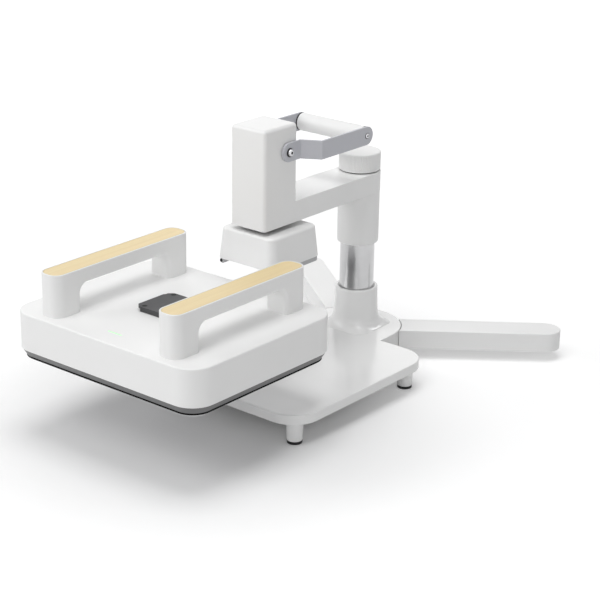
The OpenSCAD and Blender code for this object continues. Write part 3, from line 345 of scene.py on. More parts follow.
for finish, names in FINISH_OF.items():
    for name in names:
        mesh = frame["nodes"][name].data
        mesh.materials.clear()
        mesh.materials.append(finish)
        mesh.shade_smooth()
        mesh.set_sharp_from_angle(angle=math.radians(SMOOTH_ANGLE))
plain = set(frame["nodes"]) - {n for names in FINISH_OF.values() for n in names}
print("CAD pieces without a finish:", sorted(plain))

# %% [markdown]
# ## Tools for softer edges
# Real castings and mouldings have no knife edges, and it is the thin highlight along a rounded
# edge that makes a plain white thing read as real. Two ways are used here. A CAD piece can be
# copied, its loose triangles merged, and chosen edges rounded with a bevel. Or a piece is lofted
# from rings, which gives full control of a rounded profile.


# %% Finish a new piece
BODY_OF = {node: body for body, nodes in frame["record"]["behaviour"]["bodies"].items()
           for node in nodes}


def weigh_normals(mesh, smooth):
    """Shades a mesh so that its broad faces stay flat and only the narrow ones between them curve.

    At a corner of a face, the normal is the mean of the faces that meet there and turn by less
    than smooth degrees, each counted by the square of its area.
    """
    mesh.shade_smooth()
    mesh.set_sharp_from_angle(angle=math.radians(smooth))
    limit = math.cos(math.radians(smooth))
    facing = [face.normal.copy() for face in mesh.polygons]
    pull = [(face.area / MM ** 2) ** 2 for face in mesh.polygons]
    meeting = [[] for _ in mesh.vertices]
    for face in mesh.polygons:
        for corner in face.vertices:
            meeting[corner].append(face.index)
    normals = [None] * len(mesh.loops)
    for face in mesh.polygons:
        own = facing[face.index]
        for loop, corner in zip(face.loop_indices, face.vertices):
            near = [other for other in meeting[corner] if own.dot(facing[other]) > limit]
            total = sum((facing[other] * pull[other] for other in near), Vector())
            normals[loop] = total.normalized() if total.length > 0 else own
    mesh.normals_split_custom_set(normals)


def add_piece(name, shape, finish, stands_for, smooth=SMOOTH_ANGLE):
    """Puts a bmesh in metres, or a finished mesh, in the place of the CAD nodes in stands_for."""
    if isinstance(shape, bmesh.types.BMesh):
        mesh = bpy.data.meshes.new(name)
        shape.to_mesh(mesh)
        shape.free()
    else:
        mesh = shape
    weigh_normals(mesh, smooth)
    mesh.materials.clear()
    mesh.materials.append(finish)
    piece = bpy.data.objects.new(name, mesh)
    bpy.context.scene.collection.objects.link(piece)
    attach(piece, BODY_OF[stands_for[0]])
    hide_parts(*stands_for)
    print(f"{name}: {len(mesh.polygons)} faces, stands for {', '.join(stands_for)}")
    return piece


# %% Copy a CAD piece and round some of its edges
MERGE_MM, SAME_MM = 0.004, 0.01
FLAT_DEGREES, SHARP_DEGREES = 0.4, 40.0


def cad_copy(node):
    """A CAD piece whose triangles are merged into flat faces."""
    shape = bmesh.new()
    shape.from_mesh(frame["nodes"][node].data)
    bmesh.ops.remove_doubles(shape, verts=shape.verts, dist=MERGE_MM * MM)
    bmesh.ops.dissolve_limit(shape, angle_limit=math.radians(FLAT_DEGREES), verts=shape.verts,
                             edges=shape.edges)
    return shape


def round_edges(shape, radius, choose, steps=3):
    """Bevels the sharp outward edges that choose(middle, edge) picks; middle is in millimetres."""
    picked = [e for e in shape.edges if len(e.link_faces) == 2 and e.is_convex
              and e.calc_face_angle() > math.radians(SHARP_DEGREES)
              and choose((e.verts[0].co + e.verts[1].co) / 2 / MM, e)]
    corners = list({v for e in picked for v in e.verts})
    bmesh.ops.bevel(shape, geom=picked + corners, offset=radius * MM, offset_type="OFFSET",
                    segments=steps, profile=0.5, affect="EDGES", clamp_overlap=False)
    return len(picked)


def every_edge(middle, edge):
    return True


def is_level(edge):
    return abs(edge.verts[0].co.z - edge.verts[1].co.z) < SAME_MM * MM


def soften(node, name, finish, radius, choose=every_edge, steps=2, smooth=SMOOTH_ANGLE):
    """Makes a piece from a CAD piece by rounding the edges that choose picks."""
    shape = cad_copy(node)
    print(node, "edges", round_edges(shape, radius, choose, steps))
    add_piece(name, shape, finish, [node], smooth)


# %% Rings and lofts
ROUND_STEPS = 96


def plan_middle(low, high):
    return (low.x + high.x) / 2, (low.y + high.y) / 2


def quarter(steps, first=0):
    """The steps of a quarter round: how far back and how high each lies, as shares of its radius."""
    turns = [math.pi / 2 * i / steps for i in range(first, steps + 1)]
    return [(1 - math.cos(a), math.sin(a)) for a in turns]


def rounded_ring(w, d, r, z, steps=14, middle=(0.0, 0.0)):
    """A rectangle w by d with corner radius r at height z, with a holding point at each arc's end."""
    hold = min(0.6, max(0.0, min(w, d) / 2 - r) / 2)
    points = []
    for cx, cy, start in ((1, 1, 0), (-1, 1, 90), (-1, -1, 180), (1, -1, 270)):
        x0, y0 = cx * (w / 2 - r), cy * (d / 2 - r)
        first, last = math.radians(start), math.radians(start + 90)
        points.append((x0 + r * math.cos(first) + hold * math.sin(first),
                       y0 + r * math.sin(first) - hold * math.cos(first)))
        for i in range(steps + 1):
            a = first + (last - first) * i / steps
            points.append((x0 + r * math.cos(a), y0 + r * math.sin(a)))
        points.append((x0 + r * math.cos(last) - hold * math.sin(last),
                       y0 + r * math.sin(last) + hold * math.cos(last)))
    return [(x + middle[0], y + middle[1], z) for x, y in points]


def round_ring(r, z, steps=ROUND_STEPS):
    turns = [math.tau * i / steps for i in range(steps)]
    return [(r * math.cos(a), r * math.sin(a), z) for a in turns]


def loft(rings, closed=False, shape=None):
    """Joins rings of points in millimetres, and caps both ends unless the loft is closed."""
    shape = shape or bmesh.new()
    rows = [[shape.verts.new(Vector(p) * MM) for p in ring] for ring in rings]
    pairs = list(zip(rows, rows[1:])) + ([(rows[-1], rows[0])] if closed else [])
    count = len(rows[0])
    for low, high in pairs:
        for i in range(count):
            j = (i + 1) % count
            shape.faces.new((low[i], low[j], high[j], high[i]))
    if not closed:
        shape.faces.new(list(reversed(rows[0])))
        shape.faces.new(rows[-1])
    return shape


def top_round(w, d, r, z, e, steps=6, **more):
    """Rings that round a top edge by e and hold the flat face inside it."""
    rings = []
    for inward, upward in quarter(steps):
        back = e * inward
        rings.append(rounded_ring(w - 2 * back, d - 2 * back, max(r - back, 0.3),
                                  z - e + e * upward, **more))
    hold = e + 0.5
    rings.append(rounded_ring(w - 2 * hold, d - 2 * hold, max(r - hold, 0.2), z, **more))
    return rings


def stored(name, shape):
    """Keeps a shape as an object that a modifier or a tree can use."""
    part = bpy.data.objects.new(name, bpy.data.meshes.new(name))
    shape.to_mesh(part.data)
    shape.free()
    bpy.context.scene.collection.objects.link(part)
    return part

# %% [markdown]
# ## The press housing
# The housing is a wide shallow box with generous corners and a softly rounded top edge, open
# below. A loft suits it: the rings start at the ceiling of its hollow, run down the inside, turn
# round the lower lip, and come up the outside to the rounded top. The cut for the power inlet in
# the back wall is a boolean difference with a box.

# %% Press housing
low, high = (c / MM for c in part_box("press_shell"))
PRESS_MID = plan_middle(low, high)
PRESS_W, PRESS_D = high.x - low.x, high.y - low.y
SHELL_LOW, SHELL_TOP = low.z, high.z
SHELL_LIP = SHELL_LOW - 0.8
PRESS_CORNER = 32.7
SHELL_WALL = 3.0
SHELL_EDGE = 1.9
CEILING_HOLD, LIP_ROUND, LIP_HOLD = 1.0, 0.3, 0.9
INLET_REACH = 9.0


def press_ring(inset, z):
    return rounded_ring(PRESS_W - 2 * inset, PRESS_D - 2 * inset, PRESS_CORNER - inset, z,
                        middle=PRESS_MID)


def cut_box(shape, name, low_corner, high_corner):
    """Takes a box, given in millimetres, out of a shape, and gives back the finished mesh."""
    middle = (Vector(low_corner) + Vector(high_corner)) / 2
    size = Vector(high_corner) - Vector(low_corner)
    knife_shape = bmesh.new()
    bmesh.ops.create_cube(knife_shape, size=MM,
                          matrix=Matrix.Translation(middle * MM) @ Matrix.Diagonal((*size, 1.0)))
    body, knife = stored(name, shape), stored(name + "_knife", knife_shape)
    cut = body.modifiers.new("cut", "BOOLEAN")
    cut.operation, cut.solver, cut.object = "DIFFERENCE", "EXACT", knife
    result = bpy.data.meshes.new_from_object(body.evaluated_get(bpy.context.evaluated_depsgraph_get()))
    bpy.data.objects.remove(body)
    bpy.data.objects.remove(knife)
    return result


shell_rings = [press_ring(SHELL_WALL + CEILING_HOLD, SHELL_TOP - SHELL_WALL),
               press_ring(SHELL_WALL, SHELL_TOP - SHELL_WALL),
               press_ring(SHELL_WALL, SHELL_LOW), press_ring(SHELL_WALL, SHELL_LIP),
               press_ring(LIP_ROUND, SHELL_LIP), press_ring(0.0, SHELL_LIP + LIP_ROUND),
               press_ring(0.0, SHELL_LIP + LIP_HOLD)]
shell_rings += top_round(PRESS_W, PRESS_D, PRESS_CORNER, SHELL_TOP, SHELL_EDGE, 7, middle=PRESS_MID)
inlet_low, inlet_high = (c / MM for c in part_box("power_inlet"))
shell_mesh = cut_box(loft(shell_rings), "shell_cut", (inlet_low.x, inlet_low.y, inlet_low.z),
                     (inlet_high.x, inlet_high.y + INLET_REACH, inlet_high.z))
add_piece("housing", shell_mesh, white_plastic, ["press_shell"])

# %% [markdown]
# ## The sloping rim, and the status light
# Below the housing a grey rim slopes in to the heated plate, with a thin black seal between. The
# seal's near-black colour is partly painted shade of the gap there. The status light is a short
# pale green bar, let into the top near the front edge.

# %% Rim and light
rim_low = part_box("heat_rim")[0].z / MM
platen_low, platen_high = (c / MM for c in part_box("heated_platen"))
RIM_INSET = PRESS_W / 2 - (platen_high.x - platen_low.x) / 2
RIM_SHORT = 1.5
RIM_FOOT = RIM_INSET - 3.6
RIM_BORE = RIM_INSET - 0.35
RIM_GAP = 0.25
RIM_EDGE, RIM_SHOULDER, RIM_TUCK = 0.7, 1.1, 3.3
rim_foot_z = rim_low + RIM_SHORT
rim_top_z = SHELL_LIP - RIM_GAP
rim_shape = loft([press_ring(RIM_BORE, SHELL_LOW), press_ring(RIM_BORE, rim_foot_z),
                  press_ring(RIM_FOOT, rim_foot_z), press_ring(RIM_FOOT - 0.3, rim_foot_z + 0.4),
                  press_ring(RIM_EDGE, rim_top_z - 0.3), press_ring(RIM_SHOULDER, rim_top_z),
                  press_ring(RIM_TUCK, rim_top_z), press_ring(RIM_TUCK, SHELL_LOW)], closed=True)
add_piece("sloping_rim", rim_shape, rim_grey, ["heat_rim"])

# %% Seal: a dark band below the rim, partly painted shade of the gap
SEAL_H = 2.6
SEAL_BORE, SEAL_SIDE = RIM_INSET - 0.05, RIM_FOOT + 0.2
seal_top_z, seal_low_z = rim_foot_z + 1.0, rim_foot_z - SEAL_H
seal_shape = loft([press_ring(SEAL_BORE, seal_top_z), press_ring(SEAL_BORE, seal_low_z),
                   press_ring(RIM_FOOT + 0.4, seal_low_z), press_ring(SEAL_SIDE, seal_low_z + 0.2),
                   press_ring(SEAL_SIDE, seal_top_z)], closed=True)
add_piece("seal_line", seal_shape, seal_black_and_painted_shade, ["platen_seal"])

# %% Heated plate
PLATE_CHAMFER = 0.7
platen_rings = [press_ring(RIM_INSET + PLATE_CHAMFER, platen_low.z),
                press_ring(RIM_INSET, platen_low.z + PLATE_CHAMFER),
                press_ring(RIM_INSET, platen_high.z)]
add_piece("press_plate", loft(platen_rings), heated_plate, ["heated_platen"])

LIGHT_WIDE, LIGHT_DEEP, LIGHT_PROUD = 1.7, 2.0, 0.12
light_low, light_high = (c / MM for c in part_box("status_light"))
light_rings = [rounded_ring(light_high.x - light_low.x, LIGHT_WIDE, LIGHT_WIDE / 2 - 0.05, z, 8,
                            plan_middle(light_low, light_high))
               for z in (SHELL_TOP - LIGHT_DEEP, SHELL_TOP + LIGHT_PROUD)]
add_piece("light_bar", loft(light_rings), status_green, ["status_light"])

# %% [markdown]
# ## Handles
# Each handle is one moulding with an arch through it, let in on top for a strip of bamboo. The
# arch's edges are rounded so that they're kind to the fingers. That is a job for a bevel on a
# copy of the CAD piece: the edges round the arch get a wide radius and the others a small one.

# %% Handles and inlays
HANDLE_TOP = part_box("handle_left")[1].z / MM
ARCH_TOP, ARCH_END, ARCH_ROUND = 210.0, 20.0, 6.0
TOP_BAND, CORNER_BAND, TOP_ROUND = 1.5, 11.0, 0.7
INLAY_GAP, INLAY_CORNER, INLAY_EDGE = 0.3, 12.7, 0.4
for side in ("left", "right"):
    node = "handle_" + side
    low, high = (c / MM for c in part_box(node))
    shape = cad_copy(node)
    half_w, half_d = (high.x - low.x) / 2, (high.y - low.y) / 2
    mid_x, mid_y = plan_middle(low, high)

    def on_arch(middle, edge):
        upright = abs(edge.verts[0].co.x - edge.verts[1].co.x) < SAME_MM * MM
        outside = min(abs(middle.x - low.x), abs(middle.x - high.x)) < 0.05
        inside = low.y + ARCH_END < middle.y < high.y - ARCH_END
        return upright and outside and inside and SHELL_TOP + 0.2 < middle.z < ARCH_TOP + 0.6

    def on_top(middle, edge):
        if abs(middle.z - HANDLE_TOP) > 0.02:
            return False
        across, along = abs(middle.x - mid_x), abs(middle.y - mid_y)
        return (across > half_w - TOP_BAND or along > half_d - TOP_BAND
                or (half_w - across) + (half_d - along) < CORNER_BAND)

    print(node, "arch edges", round_edges(shape, ARCH_ROUND, on_arch, 6),
          "top edges", round_edges(shape, TOP_ROUND, on_top))
    add_piece("grip_" + side, shape, white_plastic, [node])
    low, high = (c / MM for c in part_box("inlay_" + side))
    w, d = high.x - low.x - 2 * INLAY_GAP, high.y - low.y - 2 * INLAY_GAP
    middle = plan_middle(low, high)
    strip = loft([rounded_ring(w, d, INLAY_CORNER, low.z, 14, middle)]
                 + top_round(w, d, INLAY_CORNER, high.z, INLAY_EDGE, 3, middle=middle))
    add_piece("bamboo_" + side, strip, pale_bamboo, ["inlay_" + side])

# %% [markdown]
# ## The dock
# The dock leans in towards its top and has a soft upper edge, which the CAD piece shows in
# facets. A loft of rings that shrink as they rise gives it smooth. Its hollow is part of it. The
# plunger comes up through a hole in its top, which the plunger hides, so the loft's top is closed.

# %% Dock cover
low, high = (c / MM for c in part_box("dock_cover"))
DOCK_MID = plan_middle(low, high)
DOCK_W, DOCK_D, DOCK_LOW, DOCK_TOP = high.x - low.x, high.y - low.y, low.z, high.z
DOCK_CORNER, DOCK_LEAN, DOCK_EDGE, DOCK_WALL = 13.0, 3.8, 3.6, 3.0
HOLLOW_CORNER = 10.0
top_w, top_d = DOCK_W - 2 * DOCK_LEAN, DOCK_D - 2 * DOCK_LEAN
inner_w, inner_d = top_w - 2 * DOCK_WALL, top_d - 2 * DOCK_WALL


def dock_ring(w, d, corner, z):
    return rounded_ring(w, d, corner, z, middle=DOCK_MID)


dock_rings = [dock_ring(inner_w, inner_d, HOLLOW_CORNER, DOCK_TOP - DOCK_WALL),
              dock_ring(inner_w, inner_d, HOLLOW_CORNER, DOCK_LOW),
              dock_ring(DOCK_W - 0.8, DOCK_D - 0.8, DOCK_CORNER, DOCK_LOW),
              dock_ring(DOCK_W, DOCK_D, DOCK_CORNER, DOCK_LOW + 0.4),
              dock_ring(DOCK_W - 0.1, DOCK_D - 0.1, DOCK_CORNER, DOCK_LOW + 1.0)]
dock_rings += top_round(top_w, top_d, DOCK_CORNER - 1.9, DOCK_TOP, DOCK_EDGE, 7, middle=DOCK_MID)
add_piece("dock_hood", loft(dock_rings), white_plastic, ["dock_cover"])

# %% [markdown]
# ## Base casting
# The base plate, the hub and the boss round the column are one casting. The plate and hub are a
# copy of the CAD piece with a small radius along their upper edges. The boss rises from a
# rounded-square mound in one sweep, so it's lofted anew: each ring is a mix of a rounded square
# and a circle, and the square's share falls off a little faster than a cube would.

# %% Plate and hub
PLATE_TOP, PLATE_LOW = 44.0, 30.0
PLATE_SIDE, PLATE_FRONT, HUB_FRONT = 118.0, -285.0, -40.0
HUB_MID = Vector((0.0, -6.5, 0.0))
HUB_R = 71.3
shape = cad_copy("base_casting")
boss_faces = [f for f in shape.faces if f.calc_center_median().z > (PLATE_TOP + 0.05) * MM]
bmesh.ops.delete(shape, geom=boss_faces, context="FACES")


def on_rim(middle, edge):
    from_hub = (Vector((middle.x, middle.y, 0.0)) - HUB_MID).length
    upper = abs(middle.z - PLATE_TOP) < 0.02 and (from_hub > HUB_R - 1.0 or middle.y < HUB_FRONT)
    lower = abs(middle.z - PLATE_LOW) < 0.02 and (abs(middle.x) > PLATE_SIDE or middle.y < PLATE_FRONT)
    return is_level(edge) and (upper or lower)


print("plate edges", round_edges(shape, 1.3, on_rim, 3))

# %% Boss and skirt
BOSS_R, BOSS_TOP, BOSS_FLARE = 31.1, 104.0, 2.4
BORE_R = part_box("column_tube")[1].x / MM + 0.15
SKIRT_HALF, SKIRT_CORNER, SKIRT_H, SKIRT_STEP = 41.0, 16.0, 21.0, 0.5
SWEEP_POWER, FLARE_POWER = 3.2, 1.5
LIP, BOSS_SINK = 1.8, 0.4
# The levels lie close together at the foot, where the sweep turns fastest.
BOSS_LEVELS = (0.0, 0.25, 0.5, 0.8, 1.2, 1.7, 2.4, 3.2, 4.2, 5.4, 7.0, 8.7, 10.5, 12.5, 15.0, 18.0,
               21.0, 26.0, 32.0, 40.0, 48.0, 54.0, BOSS_TOP - PLATE_TOP - LIP)


def square_reach(angle, half, corner):
    """How far a rounded square reaches from its centre at this angle."""
    c, s = abs(math.cos(angle)), abs(math.sin(angle))
    flat = half - corner
    if half * s <= flat * c:
        return half / c
    if half * c <= flat * s:
        return half / s
    along = flat * (c + s)
    return along + math.sqrt(along * along - 2 * flat * flat + corner * corner)


def boss_ring(height):
    """A ring of the boss: a small rounded step at the foot, then a hollow sweep up to the round."""
    t = min(max(height - SKIRT_STEP, 0.0) / (SKIRT_H - SKIRT_STEP), 1.0)
    share = (1 - t) ** SWEEP_POWER
    below = max(SKIRT_STEP - height, 0.0) / SKIRT_STEP
    half = SKIRT_HALF - SKIRT_STEP * (1 - math.sqrt(1 - (1 - below) ** 2))
    round_r = BOSS_R + BOSS_FLARE * (1 - height / (BOSS_TOP - PLATE_TOP)) ** FLARE_POWER
    ring = []
    for i in range(ROUND_STEPS):
        angle = math.tau * i / ROUND_STEPS
        r = round_r + max(square_reach(angle, half, SKIRT_CORNER) - round_r, 0.0) * share
        ring.append((r * math.cos(angle), r * math.sin(angle), PLATE_TOP + height))
    return ring


boss_rings = [round_ring(BORE_R, PLATE_TOP - BOSS_SINK), round_ring(SKIRT_HALF, PLATE_TOP - BOSS_SINK)]
boss_rings += [boss_ring(height) for height in BOSS_LEVELS]
boss_rings += [round_ring(BOSS_R - LIP * inward, BOSS_TOP - LIP + LIP * upward)
               for inward, upward in quarter(5, 1)]
boss_rings += [round_ring(BORE_R + 2.2, BOSS_TOP), round_ring(BORE_R + 1.8, BOSS_TOP - 0.2),
               round_ring(BORE_R + 0.9, BOSS_TOP - 1.4), round_ring(BORE_R, BOSS_TOP - 2.0)]
loft(boss_rings, closed=True, shape=shape)
add_piece("base", shape, plate_paint, ["base_casting"])

# %% [markdown]
# ## Legs, arm and lever
# These are copies of their CAD pieces with small radii: about a millimetre on the painted
# castings, and half a millimetre on the lever's steel plates, whose bright edges show in the
# photograph. The arm's sleeve also draws in a little just below the arm.

# %% Legs
for side in ("right", "left"):
    node = "leg_" + side
    low, high = (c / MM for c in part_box(node))

    def on_leg_top(middle, edge):
        return abs(middle.z - high.z) < 0.02 and is_level(edge)

    soften(node, "fold_leg_" + side, white_paint, 1.2, on_leg_top, 3)

# %% Arm, head and sleeve
low, high = (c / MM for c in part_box("arm_casting"))
ARM_UNDER, ARM_TOP, ARM_HALF = 250.0, 279.5, high.x
HEAD_BACK = -177.0
shape = cad_copy("arm_casting")


def on_arm_top(middle, edge):
    outer = abs(middle.x) > ARM_HALF - 0.1 or Vector((middle.x, middle.y)).length > ARM_HALF - 0.5
    return is_level(edge) and outer and middle.y > HEAD_BACK and abs(middle.z - ARM_TOP) < 0.02


print("arm edges", round_edges(shape, 1.0, on_arm_top, 3))

# %% Draw the sleeve in below the arm, and round its lower edge
SLEEVE_LOW, SLEEVE_R = low.z, ARM_HALF
STEP_IN, STEP_H, FOOT_ROUND = 0.4, 2.0, 2.2
levels = [ARM_UNDER, ARM_UNDER - STEP_H / 2, ARM_UNDER - STEP_H]
levels += [SLEEVE_LOW + FOOT_ROUND * inward for inward, upward in quarter(4, 1)]
for z in levels:
    bmesh.ops.bisect_plane(shape, geom=shape.verts[:] + shape.edges[:] + shape.faces[:],
                           plane_co=(0, 0, z * MM), plane_no=(0, 0, 1), dist=0.001 * MM)
for v in shape.verts:
    x, y, z = v.co / MM
    r = math.hypot(x, y)
    if z > ARM_UNDER - 0.1 or abs(r - SLEEVE_R) > 0.6:
        continue
    drawn = STEP_IN * min((ARM_UNDER - z) / STEP_H, 1.0)
    above = max(FOOT_ROUND - (z - SLEEVE_LOW), 0.0)
    drawn += FOOT_ROUND - math.sqrt(FOOT_ROUND ** 2 - above ** 2)
    v.co.x, v.co.y = x * (r - drawn) / r * MM, y * (r - drawn) / r * MM
add_piece("arm_and_head", shape, white_paint, ["arm_casting"])

# %% Lever plates
LEVER_ROUND, LEVER_SMOOTH = 0.45, 12.0
for side in ("right", "left"):
    soften("lever_plate_" + side, "side_bar_" + side, lever_paint, LEVER_ROUND, smooth=LEVER_SMOOTH)

# %% [markdown]
# ## Column
# The chromed column is turned, so a loft of round rings makes it. Its flat ends are hidden inside
# its neighbours. It's the one mirror in the picture, and a facet would show in it, so its rings
# have many points.

# %% Column
low, high = (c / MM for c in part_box("column_tube"))
TUBE_R, TUBE_WALL, TUBE_STEPS = high.x, 2.9, 160
column = loft([round_ring(r, z, TUBE_STEPS) for r, z in (
    (TUBE_R - TUBE_WALL, low.z), (TUBE_R, low.z), (TUBE_R, high.z), (TUBE_R - TUBE_WALL, high.z))],
    closed=True)
add_piece("column", column, chrome, ["column_tube"])

# %% [markdown]
# ## Knob
# The height knob is a turned cap with fine upright ribs. The ribs repeat, so Geometry Nodes make
# them: a circle of points, a small upright cylinder on each, and Realize Instances at the end so
# that the ribs are real faces. The tree has named inputs, so the knob can be made coarser or
# finer without touching its nodes.


# %% A tree that sets ribs round a circle
RIB_SIDES = 10


def new_tree(name, inputs):
    """A Geometry Nodes tree with named inputs and one mesh as its output, and its input node."""
    tree = bpy.data.node_groups.new(name, "GeometryNodeTree")
    tree.interface.new_socket("Geometry", in_out="OUTPUT", socket_type="NodeSocketGeometry")
    for label, kind in inputs:
        tree.interface.new_socket(label, in_out="INPUT", socket_type="NodeSocket" + kind)
    return tree, tree.nodes.new("NodeGroupInput")


def end_tree(tree, copies, finish):
    """Turns copies into real faces with one finish, as the result of a tree."""
    real = tree.nodes.new("GeometryNodeRealizeInstances")
    paint = tree.nodes.new("GeometryNodeSetMaterial")
    paint.inputs["Material"].default_value = finish
    result = tree.nodes.new("NodeGroupOutput")
    tree.links.new(copies, real.inputs["Geometry"])
    wire(tree, (real, "Geometry", paint, "Geometry"), (paint, "Geometry", result, "Geometry"))


def rib_tree(finish):
    tree, given = new_tree("upright_ribs", (
        ("Rib Count", "Int"), ("Circle Radius", "Float"), ("Rib Radius", "Float"),
        ("Rib Height", "Float"), ("Middle Height", "Float")))
    circle = tree.nodes.new("GeometryNodeMeshCircle")
    rib = tree.nodes.new("GeometryNodeMeshCylinder")
    rib.inputs["Vertices"].default_value = RIB_SIDES
    place = tree.nodes.new("GeometryNodeInstanceOnPoints")
    lift = tree.nodes.new("GeometryNodeTransform")
    offset = tree.nodes.new("ShaderNodeCombineXYZ")
    wire(tree, (given, "Rib Count", circle, "Vertices"), (given, "Circle Radius", circle, "Radius"),
         (given, "Rib Radius", rib, "Radius"), (given, "Rib Height", rib, "Depth"),
         (circle, "Mesh", place, "Points"), (rib, "Mesh", place, "Instance"),
         (place, "Instances", lift, "Geometry"), (given, "Middle Height", offset, "Z"),
         (offset, "Vector", lift, "Translation"))
    end_tree(tree, lift.outputs["Geometry"], finish)
    return tree


def grown(tree, values, start=None):
    """Runs a tree with named values and gives back a plain mesh."""
    holder = bpy.data.objects.new("holder", start or bpy.data.meshes.new("holder"))
    bpy.context.scene.collection.objects.link(holder)
    modifier = holder.modifiers.new("grow", "NODES")
    modifier.node_group = tree
    for item in tree.interface.items_tree:
        if item.in_out == "INPUT" and item.name in values:
            modifier[item.identifier] = values[item.name]
    mesh = bpy.data.meshes.new_from_object(holder.evaluated_get(bpy.context.evaluated_depsgraph_get()))
    bpy.data.objects.remove(holder)
    return mesh


# %% Knob body and ribs
low, high = (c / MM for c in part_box("height_knob"))
KNOB_R, KNOB_LOW, KNOB_TOP = (high.x - low.x) / 2, low.z, high.z
RIB_R, RIB_COUNT = 0.95, 78
KNOB_EDGE, KNOB_BORE = 1.6, 8.2
CORE_R, CAP_R = KNOB_R - RIB_R, KNOB_R - 0.2
ribs = grown(rib_tree(white_plastic), {
    "Rib Count": RIB_COUNT, "Circle Radius": CORE_R * MM, "Rib Radius": RIB_R * MM,
    "Rib Height": (KNOB_TOP - KNOB_LOW - 3.4) * MM,
    "Middle Height": ((KNOB_TOP + KNOB_LOW) / 2 - 0.5) * MM})
shape = bmesh.new()
shape.from_mesh(ribs)
knob_rings = [round_ring(KNOB_BORE, KNOB_LOW), round_ring(KNOB_R - 1.0, KNOB_LOW),
              round_ring(CAP_R, KNOB_LOW + 0.6), round_ring(CAP_R, KNOB_LOW + 1.0),
              round_ring(CORE_R, KNOB_LOW + 1.4), round_ring(CORE_R, KNOB_TOP - 2.9),
              round_ring(CAP_R, KNOB_TOP - 2.5)]
knob_rings += [round_ring(CAP_R - KNOB_EDGE * inward, KNOB_TOP - KNOB_EDGE + KNOB_EDGE * upward)
               for inward, upward in quarter(4)]
knob_rings += [round_ring(KNOB_R - KNOB_EDGE - 0.8, KNOB_TOP), round_ring(KNOB_R / 2, KNOB_TOP)]
loft(knob_rings, shape=shape)
add_piece("ribbed_knob", shape, white_plastic, ["height_knob"])

# %% [markdown]
# ## Grip of the lever
# The grip is a plain white roller. Its ends are rounded where they meet the dark washers.

# %% Grip roller
low, high = (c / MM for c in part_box("grip_tube"))
GRIP_Y, GRIP_Z, GRIP_R = (low.y + high.y) / 2, (low.z + high.z) / 2, (high.z - low.z) / 2
GRIP_FACE, GRIP_ROUND, GRIP_STEPS = 2.4, 1.0, 64
turned = [(low.x, GRIP_R - GRIP_FACE), (low.x, GRIP_R - GRIP_ROUND)]
turned += [(low.x + GRIP_ROUND - GRIP_ROUND * math.cos(a),
            GRIP_R - GRIP_ROUND + GRIP_ROUND * math.sin(a))
           for a in (0.4, 0.8, 1.2, math.pi / 2)]
turned += [(-x, r) for x, r in reversed(turned)]
turns = [math.tau * i / GRIP_STEPS for i in range(GRIP_STEPS)]
grip_rings = [[(x, GRIP_Y + r * math.cos(a), GRIP_Z + r * math.sin(a)) for a in turns]
              for x, r in turned]
grip = loft(grip_rings)
bmesh.ops.recalc_face_normals(grip, faces=grip.faces)
add_piece("grip_roller", grip, white_plastic, ["grip_tube"])

# %% [markdown]
# ## Screw heads
# Button-headed screws with a hexagonal socket hold the lever and its grip. One head is turned
# from a profile, and a small Geometry Nodes tree sets a copy on each seat. The seats are bare
# points of a mesh, and an input turns the head to face outwards. Dark discs in the lever's
# sockets and thin dark rings round its heads are painted shade.


# %% A tree that sets a part on points
def seating_tree(finish):
    tree, given = new_tree("part_on_seats", (
        ("Seats", "Geometry"), ("Part", "Object"), ("Part Size", "Float"), ("Quarter Turns", "Float")))
    part = tree.nodes.new("GeometryNodeObjectInfo")
    place = tree.nodes.new("GeometryNodeInstanceOnPoints")
    angle = tree.nodes.new("ShaderNodeMath")
    angle.operation = "MULTIPLY"
    angle.inputs[1].default_value = math.pi / 2
    turn = tree.nodes.new("ShaderNodeCombineXYZ")
    wire(tree, (given, "Seats", place, "Points"), (given, "Part", part, "Object"),
         (part, "Geometry", place, "Instance"), (given, "Part Size", place, "Scale"),
         (given, "Quarter Turns", angle, 0), (angle, "Value", turn, "Y"),
         (turn, "Vector", place, "Rotation"))
    end_tree(tree, place.outputs["Instances"], finish)
    return tree


def screw_head(name, radius, height):
    """A domed head on the XY plane with a hexagonal socket in its top, as an object to copy."""
    socket, side, crown, count = radius * 0.46, height * 0.25, radius * 0.6, 48
    profile = [(radius, 0.0), (radius, side)]
    profile += [(radius - (radius - crown) * inward, side + (height - side) * upward)
                for inward, upward in quarter(5, 1)]
    rings = [round_ring(r, z, count) for r, z in profile]

    def hexagon(z):
        ring = []
        for i in range(count):
            a = math.tau * i / count
            slice_angle = (a + math.pi / 6) % (math.pi / 3) - math.pi / 6
            reach = socket * math.cos(math.pi / 6) / math.cos(slice_angle)
            ring.append((reach * math.cos(a), reach * math.sin(a), z))
        return ring

    return stored(name, loft(rings + [hexagon(height), hexagon(height * 0.15)]))


def round_disc(name, radius, height):
    return stored(name, loft([round_ring(radius, z, 40) for z in (0.0, height)]))


def seated(tree, part, seats, quarter_turns):
    points = bpy.data.meshes.new("seats")
    points.from_pydata([Vector(s) * MM for s in seats], [], [])
    return grown(tree, {"Part": part, "Part Size": 1.0, "Quarter Turns": quarter_turns}, points)


def merged(meshes):
    shape = bmesh.new()
    for mesh in meshes:
        shape.from_mesh(mesh)
    return shape


# %% Screws of the lever
PIVOT_OUT, RING_H, SCREW_SMOOTH = 3.5, 1.2, 40.0
plate_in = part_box("lever_axle")[1].x / MM + PIVOT_OUT
pivot_y = (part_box("lever_axle")[0].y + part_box("lever_axle")[1].y) / 2 / MM
plate_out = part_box("lever_plate_right")[1].x / MM
bright_seats = seating_tree(bright_steel)
shade_seats = seating_tree(dark_screw)
pivot_head = screw_head("pivot_head", 4.9, 3.0)
end_head = screw_head("end_head", 3.4, 1.4)
